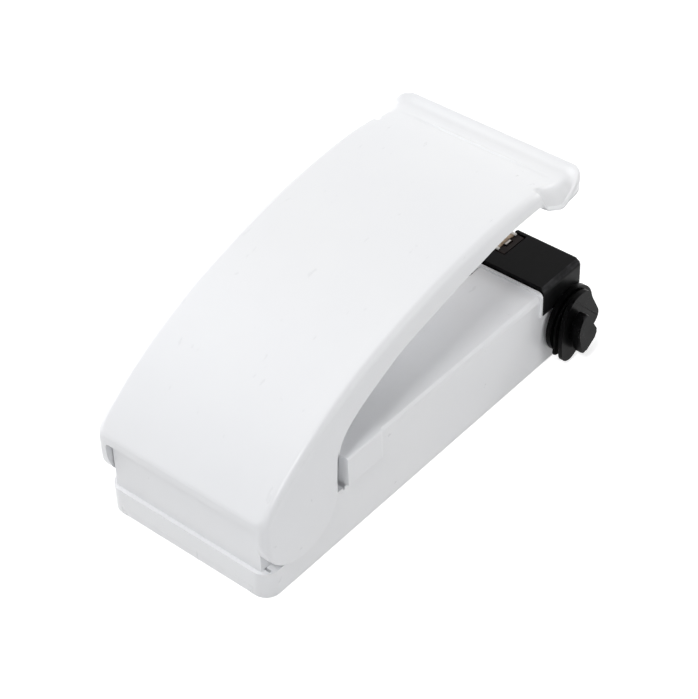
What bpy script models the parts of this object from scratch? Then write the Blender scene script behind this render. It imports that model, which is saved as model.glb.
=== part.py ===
"""Mini bag sealer: a battery heat sealer with a sprung pressing lid.

Metres, +Z up. X runs from the hinge end to the nose, Y to the left seen from the
hinge end. The lid stands open, as at rest. Sizes are taken in the base's own
places (X = 0 at the rear of the base, Y = 0 on its centre plane), and one empty
moves the whole sealer so that the origin is under the middle of its box.
"""

from math import acos, atan2, cos, degrees, hypot, pi, radians, sin, sqrt

import bmesh
import bpy
from mathutils import Matrix, Vector

# Clearances
SEAT_GAP = 0.0003
FOIL_GAP = 0.00005
RUNNING_GAP = 0.0003
CUT_OVERRUN = 0.002
JOIN_DEPTH = 0.0005

# Base shell
FRONT_BAY_LENGTH = 0.0382
CELL_SIDE_ROOM = 0.0062
CELL_ROOF_ROOM = 0.00145
BODY_WALL = 0.0016
BODY_REAR_CORNER = 0.0034
BODY_FRONT_CORNER = 0.0020
BODY_TOP_ROUNDING = 0.0015
BAND_BITE = 0.0012
BAND_LEDGE = 0.0009
REAR_BLOCK_SHOULDER = 0.0018
REAR_BLOCK_SLOPE = 0.0032
CORNER_STEPS = 6
ROUNDING_STEPS = 3

# Raised block in front of each ear
SIDE_BLOCK_LENGTH = 0.0105
SIDE_BLOCK_HEIGHT = 0.0073
SIDE_BLOCK_RISE = 0.0010
SIDE_BLOCK_PROUD = 0.0007
SIDE_BLOCK_INWARD = 0.0045
SIDE_BLOCK_ROUNDING = 0.0005

# Hinge and ears of the lid
PIVOT_DEPTH = 0.00345
EAR_RADIUS = 0.0105
EAR_OVERHANG = 0.0005
EAR_PROUD = 0.0007
EAR_GAP = 0.0004
EAR_SWEEP_GAP = 0.0029
PIN_RADIUS = 0.0015
PIN_SKIN = 0.0005
PIN_BOSS_WALL = 0.0015
PIN_BOSS_REACH = 0.0019

# Lid
LID_WALL = 0.0025
LID_PLATE = 0.0016
LID_SETBACK = 0.0028
LID_REAR_RISE = 0.00095
LID_RISE = 0.0271
LID_EDGE_ROUNDING = 0.0016
LID_INNER_ROUNDING = 0.0008
LID_TOP_SHARES = (
    (0.000, 0.000), (0.041, 0.144), (0.087, 0.277), (0.138, 0.399), (0.210, 0.539),
    (0.312, 0.694), (0.456, 0.845), (0.605, 0.948), (0.763, 1.000), (0.865, 0.985),
    (0.916, 0.948), (0.952, 0.926), (1.000, 0.915))
LID_FOOT_SHARES = (
    (0.000, 0.070), (0.022, 0.199), (0.081, 0.325), (0.178, 0.447), (0.307, 0.575),
    (0.466, 0.670), (0.595, 0.741), (0.707, 0.792), (0.803, 0.833), (0.899, 0.853), (1.000, 0.857))
LID_FOOT_STEP = 0.0004
LID_EAR_STATIONS = 9
LID_BODY_STATIONS = 14
LID_LIP_STATIONS = 16
LID_ARC_STEPS = 4
LID_STATION_POWER = 1.5

# Flared lip at the front of the lid: a rolled rim that climbs from the foot of the side to the front
LIP_LENGTH = 0.0138
LIP_BLEND_LENGTH = 0.0022
LIP_FLARE = 0.00195
LIP_FLARE_LENGTH = 0.0053
LIP_CORNER = 0.0045
LIP_DEPTH = 0.0054
LIP_ROLL = 0.0007
LIP_TUCK = 0.0004
LIP_FRONT_WALL = 0.0016
LIP_RIM_HEIGHT = 0.0010
LIP_RIM_REAR_DROP = 0.0040
LIP_CLIMB_START = 0.0090
LIP_CLIMB_END = 0.0015
LID_WALL_STEPS = 3
LID_EDGE_STEPS = (0.0007, 0.0016, 0.0026)

# Return spring between base and lid
SPRING_SETBACK = 0.0146
SPRING_RADIUS = 0.0042
SPRING_WIRE_RADIUS = 0.0004
SPRING_TURNS = 7
SPRING_POINTS_PER_TURN = 9
SPRING_SEAT_PEG_RADIUS = 0.0026
SPRING_SEAT_PEG_HEIGHT = 0.0020
SPRING_LID_PEG_LENGTH = 0.0065
SPRING_LEAST_GAP = 0.0004

# Nose saddle
SADDLE_LENGTH = 0.0137
SADDLE_RISE = 0.00101
SADDLE_DEPTH = 0.00666
SADDLE_PROUD = 0.00045
SADDLE_SIDE = 0.0011
SADDLE_PLATE = 0.0012
SADDLE_FRONT = 0.0010
SADDLE_ROUNDING = 0.0012
SADDLE_NOTCH_HALF_WIDTH = 0.0050
NOSE_FRONT_WALL = 0.0010

# Heater
HEATER_FRONT_EDGE = 0.0021
HEATER_CAP_LENGTH = 0.0070
HEATER_CAP_HALF_WIDTH = 0.0078
HEATER_CAP_RISE = 0.00025
HEATER_STEM_SHOULDER = 0.0011
HEATER_STEM_SIDE = 0.0006
HEATER_DEPTH = 0.00646
STRIP_WIDTH = 0.0018
STRIP_THICKNESS = 0.0002
STRIP_HALF_LENGTH = 0.00635
STRIP_SLOT_GAP = 0.0003
STRIP_TAIL = 0.0012
CLOTH_THICKNESS = 0.0002
CLOTH_HALF_WIDTH = 0.0069
CLOTH_SHOULDER_SHARE = 0.22
RAIL_WIDTH = 0.0007
RAIL_HEIGHT = 0.0004
RAIL_INSET = 0.00015

# Pressing pad under the lid, measured with the lid closed
PAD_THICKNESS = 0.0014
PAD_LENGTH = 0.0056
PAD_HALF_WIDTH = 0.0067
PAD_ROUNDING = 0.0005
HOLDER_WALL = 0.0009
HOLDER_HEIGHT = 0.0020
HOLDER_ROOF = 0.0009
HOLDER_EAR = 0.0036
HOLDER_BOSS_RADIUS = 0.0015
HOLDER_BOSS_LENGTH = 0.0020
HOLDER_LID_GAP = 0.001708

# Switch: the crossbar of a post on the lid carries a brass bridge down onto two strips
POST_SETBACK = 0.0030
POST_LENGTH_X = 0.0028
POST_WIDTH = 0.0038
POST_BAR_HALF_WIDTH = 0.0038
POST_BAR_HEIGHT = 0.0014
POST_DEPTH = 0.00745
POST_SLOT_GAP = 0.0007
BRIDGE_THICKNESS = 0.0004
BRIDGE_HALF_WIDTH = 0.0049
CONTACT_THICKNESS = 0.0004
CONTACT_WIDTH = 0.0017
CONTACT_TRAVEL_GAP = 0.0003
CONTACT_SPACING = 0.00475
CONTACT_RIB_SETBACK = 0.0053
CONTACT_RIB_THICKNESS = 0.0012
CONTACT_RIB_HALF_WIDTH = 0.0085
CONTACT_RIB_SKIRT = 0.00075
CONTACT_LEG = 0.0045

# Battery bay
CELL_RADIUS = 0.00725
CELL_BODY_LENGTH = 0.0490
CELL_NUB_RADIUS = 0.00275
CELL_NUB_LENGTH = 0.0015
CELL_SHOULDER = 0.0006
CELL_PLAY = 0.00035
CELL_SIDES = 28
BAY_WALL = 0.0013
PLATE_THICKNESS = 0.0004
PLATE_SIZE = 0.0096
COIL_LENGTH = 0.0046
COIL_WIDE_RADIUS = 0.0036
COIL_NARROW_RADIUS = 0.0022
COIL_WIRE_RADIUS = 0.00035
COIL_TURNS = 3
COIL_POINTS_PER_TURN = 8

# Battery door and bottom plate
FLOOR_THICKNESS = 0.0016
DOOR_MARGIN = 0.00115
DOOR_TONGUE = 0.0010
DOOR_TONGUE_HEIGHT = 0.0008
DOOR_RAIL_HEIGHT = 0.0032
DOOR_GROOVES = 5
DOOR_GROOVE_WIDTH = 0.0008
DOOR_GROOVE_DEPTH = 0.0004
DOOR_GROOVE_PITCH = 0.0020
DOOR_GROOVE_HALF_LENGTH = 0.0090
DOOR_GROOVE_START = 0.0040

# Screws of the bottom plate
SCREW_REAR_EDGE = 0.0047
SCREW_FRONT_EDGE = 0.0102
SCREW_WALL_GAP = 0.0005
SCREW_SHANK_RADIUS = 0.0008
SCREW_LENGTH = 0.0070
SCREW_HEAD_RADIUS = 0.0019
SCREW_HEAD_HEIGHT = 0.0007
SCREW_SIDES = 16
SCREW_POST_RADIUS = 0.0025
SCREW_RECESS = 0.0011
PAD_SCREW_LENGTH = 0.0022
PAD_SCREW_HEAD_RADIUS = 0.0013
PAD_SCREW_HEAD_HEIGHT = 0.0006
PAD_SCREW_SHANK_RADIUS = 0.0006

# Rotary lock
LOCK_SETBACK = 0.0054
LOCK_Z = 0.0086
LOCK_SHAFT_RADIUS = 0.0015
LOCK_SHAFT_SIDES = 24
LOCK_DISC_RADIUS = 0.0078
LOCK_DISC_THICKNESS = 0.0011
LOCK_DISC_SIDES = 40
LOCK_SQUARE = 0.0122
LOCK_SQUARE_CORNER = 0.0032
LOCK_SQUARE_OFFSET = (-0.0007, 0.0001)
LOCK_STOP_RADIUS = 0.0070
LOCK_STOP_TIP_REACH = 0.0089
LOCK_STOP_TIP_RADIUS = 0.0005
LOCK_STOP_LEAN = radians(225)
LOCK_STOP_THICKNESS = 0.0005
LOCK_DIAL_GAP = 0.0006
LOCK_DIAL_THICKNESS = 0.0010
LOCK_GRIP_LENGTH = 0.0088
LOCK_GRIP_OFFSET = (-0.0003, -0.0011)
LOCK_GRIP_GAP = 0.0004
LOCK_GRIP_WIDTH = 0.0056
LOCK_GRIP_CORNER = 0.0013
LOCK_GRIP_THICKNESS = 0.0022
LOCK_GRIP_SKIN = 0.0006
LOCK_LEAN = radians(27)
LOCK_EDGE_ROUNDING = 0.0003
LOCK_CLIP_RADIUS = 0.0027
LOCK_CLIP_THICKNESS = 0.0006
LOCK_ARM_HUB_RADIUS = 0.0028
LOCK_ARM_PAST_POST = 0.0024
LOCK_ARM_HALF_WIDTH = 0.0035
LOCK_FORK_HALF_GAP = 0.0025
LOCK_FORK_DEPTH = 0.0060
LOCK_ARM_HEIGHT = 0.0022
LOCK_BOSS_RADIUS = 0.0033
LOCK_BOSS_LENGTH = 0.0030

# Leads
LEAD_RADIUS = 0.0006
LEAD_BEVEL_STEPS = 2
LEAD_STEPS_PER_SPAN = 4
LEAD_LEVEL = 0.0035

# Worked-out places: the battery bay and the base around it
CELL_Y = CELL_RADIUS + CELL_PLAY
CELL_Z = FLOOR_THICKNESS + SEAT_GAP + CELL_RADIUS
CELL_LENGTH = CELL_BODY_LENGTH + CELL_NUB_LENGTH
PLATE_LOW = CELL_Z - PLATE_SIZE / 2
BAY_REAR_X = BAND_LEDGE + BODY_WALL
BRIDGE_PLATE_X = BAY_REAR_X + SEAT_GAP
BAY_CONTACT_REAR_X = BRIDGE_PLATE_X + PLATE_THICKNESS + SEAT_GAP
BAY_CONTACT_FRONT_X = BAY_CONTACT_REAR_X + CELL_LENGTH + SEAT_GAP + COIL_LENGTH
FRONT_PLATE_X = BAY_CONTACT_FRONT_X + SEAT_GAP
BAY_FRONT_X = FRONT_PLATE_X + PLATE_THICKNESS + SEAT_GAP
DOOR_FRONT_X = BAY_FRONT_X + BAY_WALL + SEAT_GAP
DOOR_HALF_WIDTH = CELL_Y + CELL_RADIUS + DOOR_MARGIN
FLOOR_REAR_X = DOOR_FRONT_X + SEAT_GAP
BODY_LENGTH = FLOOR_REAR_X + FRONT_BAY_LENGTH
HALF_WIDTH = CELL_Y + CELL_RADIUS + CELL_SIDE_ROOM
ROOF_Z = CELL_Z + CELL_RADIUS + CELL_ROOF_ROOM
BODY_HEIGHT = ROOF_Z + BODY_WALL
BODY_FRONT_X = BODY_LENGTH - SADDLE_PROUD
SIDE_BLOCK_TOP = BODY_HEIGHT + SIDE_BLOCK_RISE
SIDE_BLOCK_FOOT = SIDE_BLOCK_TOP - SIDE_BLOCK_HEIGHT

# Worked-out places: hinge and lid
PIVOT_X = EAR_RADIUS - EAR_OVERHANG
PIVOT_Z = BODY_HEIGHT - PIVOT_DEPTH
BAND_HEIGHT = PIVOT_Z - EAR_RADIUS - EAR_GAP + BAND_BITE
EAR_OUTER_Y = HALF_WIDTH + EAR_PROUD
EAR_INNER_Y = EAR_OUTER_Y - LID_WALL
POCKET_Y = EAR_INNER_Y - SEAT_GAP
POCKET_FRONT_X = PIVOT_X + EAR_RADIUS + EAR_SWEEP_GAP
PIN_HOLE_RADIUS = PIN_RADIUS + RUNNING_GAP
PIN_INNER_Y = POCKET_Y - BODY_WALL - PIN_BOSS_REACH
LID_REAR_X = PIVOT_X - EAR_RADIUS
LID_FRONT_X = BODY_LENGTH - LID_SETBACK
LID_LENGTH = LID_FRONT_X - LID_REAR_X
LID_REAR_Z = BODY_HEIGHT + LID_REAR_RISE
LID_SIDE_X = PIVOT_X + EAR_RADIUS + LID_FOOT_STEP
LIP_HALF_WIDTH = EAR_OUTER_Y + LIP_FLARE
LIP_REAR_X = LID_FRONT_X - LIP_LENGTH
LIP_FOOT_Z = LID_REAR_Z + LID_RISE - LIP_DEPTH
LIP_CLIMB_REAR_X = LID_FRONT_X - LIP_CLIMB_START
LIP_CLIMB_FRONT_X = LID_FRONT_X - LIP_CLIMB_END
SPRING_X = POCKET_FRONT_X + SPRING_SETBACK

# Worked-out places: nose, heater and pressing pad
SADDLE_REAR_X = BODY_LENGTH - SADDLE_LENGTH
SADDLE_TOP = BODY_HEIGHT + SADDLE_RISE
SADDLE_FOOT = SADDLE_TOP - SADDLE_DEPTH
SADDLE_Y = HALF_WIDTH + SADDLE_PROUD
NOSE_Y = SADDLE_Y - SADDLE_SIDE - SEAT_GAP
NOSE_Z = SADDLE_TOP - SADDLE_PLATE - SEAT_GAP
NOSE_FRONT_X = BODY_LENGTH - SADDLE_FRONT - SEAT_GAP
NOSE_ROOF_Z = NOSE_Z - BODY_WALL
NOSE_INNER_Y = NOSE_Y - BODY_WALL
NOSE_INNER_X = NOSE_FRONT_X - NOSE_FRONT_WALL
HEATER_FRONT_X = BODY_LENGTH - HEATER_FRONT_EDGE
HEATER_REAR_X = HEATER_FRONT_X - HEATER_CAP_LENGTH
HEATER_X = (HEATER_FRONT_X + HEATER_REAR_X) / 2
HEATER_TOP = SADDLE_TOP + HEATER_CAP_RISE
HEATER_FOOT = SADDLE_TOP - HEATER_DEPTH
STRIP_Z = HEATER_TOP + FOIL_GAP
CLOTH_TOP = STRIP_Z + STRIP_THICKNESS + FOIL_GAP + CLOTH_THICKNESS
PAD_FOOT = CLOTH_TOP + SEAT_GAP
PAD_TOP = PAD_FOOT + PAD_THICKNESS
HOLDER_TOP = PAD_TOP + FOIL_GAP + HOLDER_ROOF
HOLDER_FOOT = HOLDER_TOP - HOLDER_HEIGHT
HOLDER_SCREW_Y = PAD_HALF_WIDTH + SEAT_GAP + HOLDER_WALL + HOLDER_EAR / 2

# Worked-out places: switch, screws and lock
POST_X = SADDLE_REAR_X - SEAT_GAP - POST_SETBACK
POST_TIP = BODY_HEIGHT - POST_DEPTH
CONTACT_Z = POST_TIP - FOIL_GAP - BRIDGE_THICKNESS - CONTACT_TRAVEL_GAP
CONTACT_RIB_X = POST_X - CONTACT_RIB_SETBACK
CONTACT_RIB_FOOT = CONTACT_Z - CONTACT_LEG - CONTACT_RIB_SKIRT
SCREW_REAR_X = FLOOR_REAR_X + SCREW_REAR_EDGE
SCREW_FRONT_X = NOSE_INNER_X - SCREW_FRONT_EDGE
SCREW_Y = NOSE_INNER_Y - SCREW_POST_RADIUS - SCREW_WALL_GAP
LOCK_X = BODY_LENGTH - LOCK_SETBACK
LOCK_ARM_LENGTH = LOCK_X - POST_X + LOCK_ARM_PAST_POST
SHAFT_HOLE_RADIUS = LOCK_SHAFT_RADIUS + RUNNING_GAP
LOCK_DISC_Y = -(SADDLE_Y + SEAT_GAP)
LOCK_STOP_Y = LOCK_DISC_Y - LOCK_DISC_THICKNESS - SEAT_GAP
LOCK_DIAL_Y = LOCK_STOP_Y - LOCK_STOP_THICKNESS - LOCK_DIAL_GAP
LOCK_GRIP_Y = LOCK_DIAL_Y - LOCK_DIAL_THICKNESS - LOCK_GRIP_GAP
LOCK_OUTER_Y = LOCK_GRIP_Y - LOCK_GRIP_THICKNESS
LOCK_CLIP_Y = -(NOSE_INNER_Y - SEAT_GAP)

SIDES = (-1, 1)
SMALL_SIDES = 20
SHARP_ANGLE = radians(35)
SLOPE_STEP = 0.0004
SOLVE_STEPS = 24


def clear_scene():
    for obj in list(bpy.data.objects):
        bpy.data.objects.remove(obj)


def make_material(name, colour, roughness, metallic=0.0):
    made = bpy.data.materials.new(name)
    made.use_nodes = True
    shader = made.node_tree.nodes["Principled BSDF"]
    shader.inputs["Base Color"].default_value = (*colour, 1.0)
    shader.inputs["Roughness"].default_value = roughness
    shader.inputs["Metallic"].default_value = metallic
    return made


def give_material(shape, name, surface):
    own = surface.copy()
    own.name = f"{name}_{surface.name}"
    shape.materials.append(own)


# Holders: an empty and the place in the base that it stands for
def make_holder(name, place, parent=None, angle=0.0):
    empty = bpy.data.objects.new(name, None)
    bpy.context.scene.collection.objects.link(empty)
    empty.rotation_euler = (0.0, angle, 0.0)
    if parent is None:
        empty.location = place
        return empty, Vector((0.0, 0.0, 0.0))
    empty.parent = parent[0]
    empty.location = Vector(place) - parent[1]
    return empty, Vector(place)


def attach(obj, holder):
    bpy.context.scene.collection.objects.link(obj)
    obj.parent = holder[0]
    obj.matrix_parent_inverse = Matrix.Translation(-holder[1])


def add_piece(name, bm, holder, surface):
    mesh = bpy.data.meshes.new(name)
    bmesh.ops.recalc_face_normals(bm, faces=bm.faces)
    bm.to_mesh(mesh)
    bm.free()
    mesh.shade_smooth()
    mesh.set_sharp_from_angle(angle=SHARP_ANGLE)
    give_material(mesh, name, surface)
    obj = bpy.data.objects.new(name, mesh)
    attach(obj, holder)
    return obj


def combine(target, name, bm, operation, holder):
    mesh = bpy.data.meshes.new(name)
    bmesh.ops.recalc_face_normals(bm, faces=bm.faces)
    bm.to_mesh(mesh)
    bm.free()
    tool = bpy.data.objects.new(name, mesh)
    attach(tool, holder)
    tool.hide_render = True
    tool.display_type = "WIRE"
    step = target.modifiers.new(name, "BOOLEAN")
    step.operation = operation
    step.solver = "EXACT"
    step.object = tool


def cut(target, name, bm, holder):
    combine(target, "cut_" + name, bm, "DIFFERENCE", holder)


def join(target, name, bm, holder):
    combine(target, "join_" + name, bm, "UNION", holder)


# Shapes
def spot(axis, first, second, along):
    if axis == "X":
        return Vector((along, first, second))
    if axis == "Y":
        return Vector((first, along, second))
    return Vector((first, second, along))


def prism(outline, low, high, axis):
    bm = bmesh.new()
    start = [bm.verts.new(spot(axis, a, b, low)) for a, b in outline]
    end = [bm.verts.new(spot(axis, a, b, high)) for a, b in outline]
    bm.faces.new(start)
    bm.faces.new(list(reversed(end)))
    count = len(outline)
    for k in range(count):
        after = (k + 1) % count
        bm.faces.new((start[k], end[k], end[after], start[after]))
    bmesh.ops.recalc_face_normals(bm, faces=bm.faces)
    return bm


def box(low, high):
    outline = [(low[0], low[1]), (high[0], low[1]), (high[0], high[1]), (low[0], high[1])]
    return prism(outline, low[2], high[2], "Z")


def side_box(side, x_range, y_range, z_range):
    near, far = sorted((side * y_range[0], side * y_range[1]))
    return box((x_range[0], near, z_range[0]), (x_range[1], far, z_range[1]))


def arc(centre, radius, start, end, steps):
    points = []
    for k in range(steps + 1):
        angle = start + (end - start) * k / steps
        points.append((centre[0] + radius * cos(angle), centre[1] + radius * sin(angle)))
    return points


def rounded_rectangle(low, high, radii, steps):
    corners = ((low[0], low[1], 1, 1), (high[0], low[1], -1, 1),
               (high[0], high[1], -1, -1), (low[0], high[1], 1, -1))
    outline = []
    for turn, (corner, radius) in enumerate(zip(corners, radii)):
        centre = (corner[0] + corner[2] * radius, corner[1] + corner[3] * radius)
        start = pi + turn * pi / 2
        outline += arc(centre, radius, start, start + pi / 2, steps)
    return outline


def turned_outline(outline, centre, angle):
    points = []
    for a, b in outline:
        points.append((centre[0] + a * cos(angle) - b * sin(angle),
                       centre[1] + a * sin(angle) + b * cos(angle)))
    return points


def ring_faces(bm, first, second):
    count = max(len(first), len(second))
    for k in range(count):
        after = (k + 1) % count
        if len(first) == 1:
            bm.faces.new((first[0], second[after], second[k]))
        elif len(second) == 1:
            bm.faces.new((first[k], first[after], second[0]))
        else:
            bm.faces.new((first[k], first[after], second[after], second[k]))


def turned(profile, axis, centre, sides, hollow=False):
    bm = bmesh.new()
    rings = []
    for along, radius in profile:
        if radius == 0.0:
            rings.append([bm.verts.new(spot(axis, centre[0], centre[1], along))])
            continue
        points = arc(centre, radius, 0.0, 2 * pi, sides)[:-1]
        rings.append([bm.verts.new(spot(axis, a, b, along)) for a, b in points])
    for first, second in zip(rings, rings[1:]):
        ring_faces(bm, first, second)
    if hollow:
        ring_faces(bm, rings[-1], rings[0])
    else:
        for ring in (rings[0], rings[-1]):
            if len(ring) > 1:
                bm.faces.new(ring)
    bmesh.ops.recalc_face_normals(bm, faces=bm.faces)
    return bm


def cylinder(axis, centre, radius, low, high, sides=SMALL_SIDES):
    return turned(((low, radius), (high, radius)), axis, centre, sides)


def washer(axis, centre, inner, outer, low, high, sides):
    profile = ((low, inner), (low, outer), (high, outer), (high, inner))
    return turned(profile, axis, centre, sides, hollow=True)


def bevel(bm, width, steps, chosen):
    edges = [edge for edge in bm.edges if chosen(*(vert.co for vert in edge.verts))]
    bmesh.ops.bevel(bm, geom=edges, offset=width, segments=steps, affect="EDGES", profile=0.5,
                    clamp_overlap=True)
    return bm


def tube(name, points, radius, steps, holder, surface):
    curve = bpy.data.curves.new(name, "CURVE")
    curve.dimensions = "3D"
    curve.bevel_depth = radius
    curve.bevel_resolution = steps
    curve.use_fill_caps = True
    line = curve.splines.new("POLY")
    line.points.add(len(points) - 1)
    for slot, point in zip(line.points, points):
        slot.co = (*point, 1.0)
    give_material(curve, name, surface)
    obj = bpy.data.objects.new(name, curve)
    attach(obj, holder)
    return obj


def smooth_route(stops, steps):
    stops = [Vector(stop) for stop in stops]
    padded = [2 * stops[0] - stops[1], *stops, 2 * stops[-1] - stops[-2]]
    route = [stops[0]]
    for k in range(1, len(padded) - 2):
        before, start, end, after = padded[k - 1:k + 3]
        for step in range(1, steps + 1):
            t = step / steps
            bend = (2 * before - 5 * start + 4 * end - after) * t * t
            twist = (3 * start - before - 3 * end + after) * t ** 3
            route.append((2 * start + (end - before) * t + bend + twist) / 2)
    return route


# Curves of the lid, read from the tables of shares
def share_at(table, share):
    last = len(table) - 1
    k = 0
    while k < last - 1 and share > table[k + 1][0]:
        k += 1

    def slope(n):
        low, high = max(n - 1, 0), min(n + 1, last)
        return (table[high][1] - table[low][1]) / (table[high][0] - table[low][0])

    span = table[k + 1][0] - table[k][0]
    t = (share - table[k][0]) / span
    start, end = table[k][1], table[k + 1][1]
    return (start * (2 * t ** 3 - 3 * t ** 2 + 1) + end * (3 * t ** 2 - 2 * t ** 3)
            + slope(k) * span * (t ** 3 - 2 * t ** 2 + t) + slope(k + 1) * span * (t ** 3 - t ** 2))


def smooth_step(value):
    t = min(max(value, 0.0), 1.0)
    return t * t * (3 - 2 * t)


def lid_share(x):
    return (x - LID_REAR_X) / LID_LENGTH


def lid_top(x):
    return LID_REAR_Z + LID_RISE * share_at(LID_TOP_SHARES, lid_share(x))


def lid_underside(x):
    slope = (lid_top(x + SLOPE_STEP) - lid_top(x - SLOPE_STEP)) / (2 * SLOPE_STEP)
    return lid_top(x) - LID_PLATE * hypot(1, slope)


# Height over x of the middle of the lid's plate when the lid has closed by the angle
def closed_plate(x, angle):
    open_x = x
    for _ in range(SOLVE_STEPS):
        rise = lid_underside(open_x) + LID_PLATE / 2 - PIVOT_Z
        open_x += x - PIVOT_X - (open_x - PIVOT_X) * cos(angle) - rise * sin(angle)
    rise = lid_underside(open_x) + LID_PLATE / 2 - PIVOT_Z
    return PIVOT_Z - (open_x - PIVOT_X) * sin(angle) + rise * cos(angle)


# Angle at which the lid's plate stands over the holder of the pad
def closing_angle():
    wanted = HOLDER_TOP + HOLDER_LID_GAP + LID_PLATE / 2
    low, high = 0.0, pi / 4
    for _ in range(SOLVE_STEPS):
        middle = (low + high) / 2
        if closed_plate(HEATER_X, middle) > wanted:
            low = middle
        else:
            high = middle
    return (low + high) / 2


# Share of the lip in the lid's section, from none behind it to all of it
def lip_blend(x):
    return smooth_step((x - LIP_REAR_X) / LIP_BLEND_LENGTH)


def lid_foot(x):
    if x < LID_SIDE_X - LID_FOOT_STEP / 2:
        return PIVOT_Z - sqrt(max(EAR_RADIUS ** 2 - (x - PIVOT_X) ** 2, 0.0))
    share = (min(x, LIP_REAR_X) - LID_SIDE_X) / (LIP_REAR_X - LID_SIDE_X)
    side_foot = LID_REAR_Z + LID_RISE * share_at(LID_FOOT_SHARES, share)
    return side_foot + (LIP_FOOT_Z - side_foot) * lip_blend(x)


# How far a rounded edge of this radius has fallen at a distance past its start
def fallen(radius, past):
    return radius - sqrt(max(radius ** 2 - max(past, 0.0) ** 2, 0.0))


def lip_flare(x):
    return LIP_FLARE * smooth_step((x - LIP_REAR_X) / LIP_FLARE_LENGTH)


def lip_half_width(x):
    return EAR_OUTER_Y + lip_flare(x) - fallen(LIP_CORNER, x - (LID_FRONT_X - LIP_CORNER))


# Height of the lip's surface: it falls to the rim at the sides and rises to it at the front
def lip_height(x, y):
    past_x = x - (LID_FRONT_X - LIP_CORNER)
    past_y = abs(y) - (LIP_HALF_WIDTH - LIP_CORNER)
    if past_x > 0 and past_y > 0:
        inset = LIP_CORNER - hypot(past_x, past_y)
    else:
        inset = min(LID_FRONT_X - x, lip_half_width(x) - abs(y))
    climb = smooth_step((x - LIP_CLIMB_REAR_X) / (LIP_CLIMB_FRONT_X - LIP_CLIMB_REAR_X))
    rim = (LIP_RIM_HEIGHT + LIP_RIM_REAR_DROP) * climb - LIP_RIM_REAR_DROP
    valley = LID_EDGE_ROUNDING + lip_flare(x)
    share = smooth_step((valley - inset) / (valley - LIP_ROLL))
    return lid_top(x) + rim * share


# Half of the lid's section behind the lip: foot, side wall, rounded edge and columns over the top
def side_points(x):
    width, rounding, foot = EAR_OUTER_Y, LID_EDGE_ROUNDING, lid_foot(x)
    edge = lid_top(x)
    points = []
    for k in range(LID_WALL_STEPS):
        points.append((width, foot + (edge - rounding - foot) * k / LID_WALL_STEPS))
    points += arc((width - rounding, edge - rounding), rounding, 0.0, pi / 2, LID_ARC_STEPS)
    points += [(width - rounding - inset, edge) for inset in LID_EDGE_STEPS]
    flat = points[-1][0]
    return points + [(flat / 2, edge), (0.0, edge)]


# The same half section through the lip: tucked under, rolled over, and down to the valley
def lip_points(x):
    width, foot = lip_half_width(x), lid_foot(x)
    drop = fallen(LIP_ROLL, x - (LID_FRONT_X - LIP_ROLL))
    roll = max(LIP_ROLL - drop, FOIL_GAP)
    crest = lip_height(x, width - LIP_ROLL) - drop
    points = []
    for k in range(LID_WALL_STEPS):
        angle = pi / 2 * (1 - k / LID_WALL_STEPS)
        points.append((width - LIP_TUCK * (1 - cos(angle)), crest - roll - (crest - roll - foot) * sin(angle)))
    for k in range(LID_ARC_STEPS + 1):
        angle = pi / 2 * k / LID_ARC_STEPS
        points.append((width - LIP_ROLL * (1 - cos(angle)), crest - roll * (1 - sin(angle))))
    for inset in LID_EDGE_STEPS:
        y = width - LIP_ROLL - inset
        points.append((y, lip_height(x, y) - drop))
    flat = points[-1][0]
    points += [(flat / 2, lip_height(x, flat / 2) - drop), (0.0, lip_height(x, 0.0) - drop)]
    return points


def mirrored(points):
    return points + [(-y, z) for y, z in reversed(points[:-1])]


def outer_profile(x):
    blend = lip_blend(x)
    if blend == 0.0:
        return mirrored(side_points(x))
    half = []
    for (y, z), (lip_y, lip_z) in zip(side_points(min(x, LIP_REAR_X + LIP_BLEND_LENGTH)), lip_points(x)):
        half.append((y + (lip_y - y) * blend, z + (lip_z - z) * blend))
    return mirrored(half)


def inner_x(x):
    if x <= LIP_REAR_X:
        return x
    return LIP_REAR_X + (x - LIP_REAR_X) * (LIP_LENGTH - LIP_FRONT_WALL) / LIP_LENGTH


def inner_profile(x):
    foot, roof, width = lid_foot(x), lid_underside(x), EAR_INNER_Y
    points = [(width, foot)]
    middle = roof - LID_INNER_ROUNDING
    for k in range(1, LID_WALL_STEPS):
        points.append((width, foot + (middle - foot) * k / LID_WALL_STEPS))
    points += arc((width - LID_INNER_ROUNDING, middle), LID_INNER_ROUNDING, 0.0, pi / 2, LID_ARC_STEPS)
    points += [(width - LID_INNER_ROUNDING - inset, roof) for inset in LID_EDGE_STEPS]
    flat = points[-1][0]
    return mirrored(points + [(flat / 2, roof), (0.0, roof)])


def lid_stations():
    last = LID_EAR_STATIONS - 1
    stations = [PIVOT_X - EAR_RADIUS * cos(pi * k / last) for k in range(LID_EAR_STATIONS)]
    for k in range(LID_BODY_STATIONS + 1):
        reach = (k / LID_BODY_STATIONS) ** LID_STATION_POWER
        stations.append(LID_SIDE_X + (LIP_REAR_X - LID_SIDE_X) * reach)
    for k in range(1, LID_LIP_STATIONS + 1):
        reach = sin(pi / 2 * k / LID_LIP_STATIONS)
        stations.append(LIP_REAR_X + (LID_FRONT_X - LIP_REAR_X) * reach)
    return stations


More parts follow.
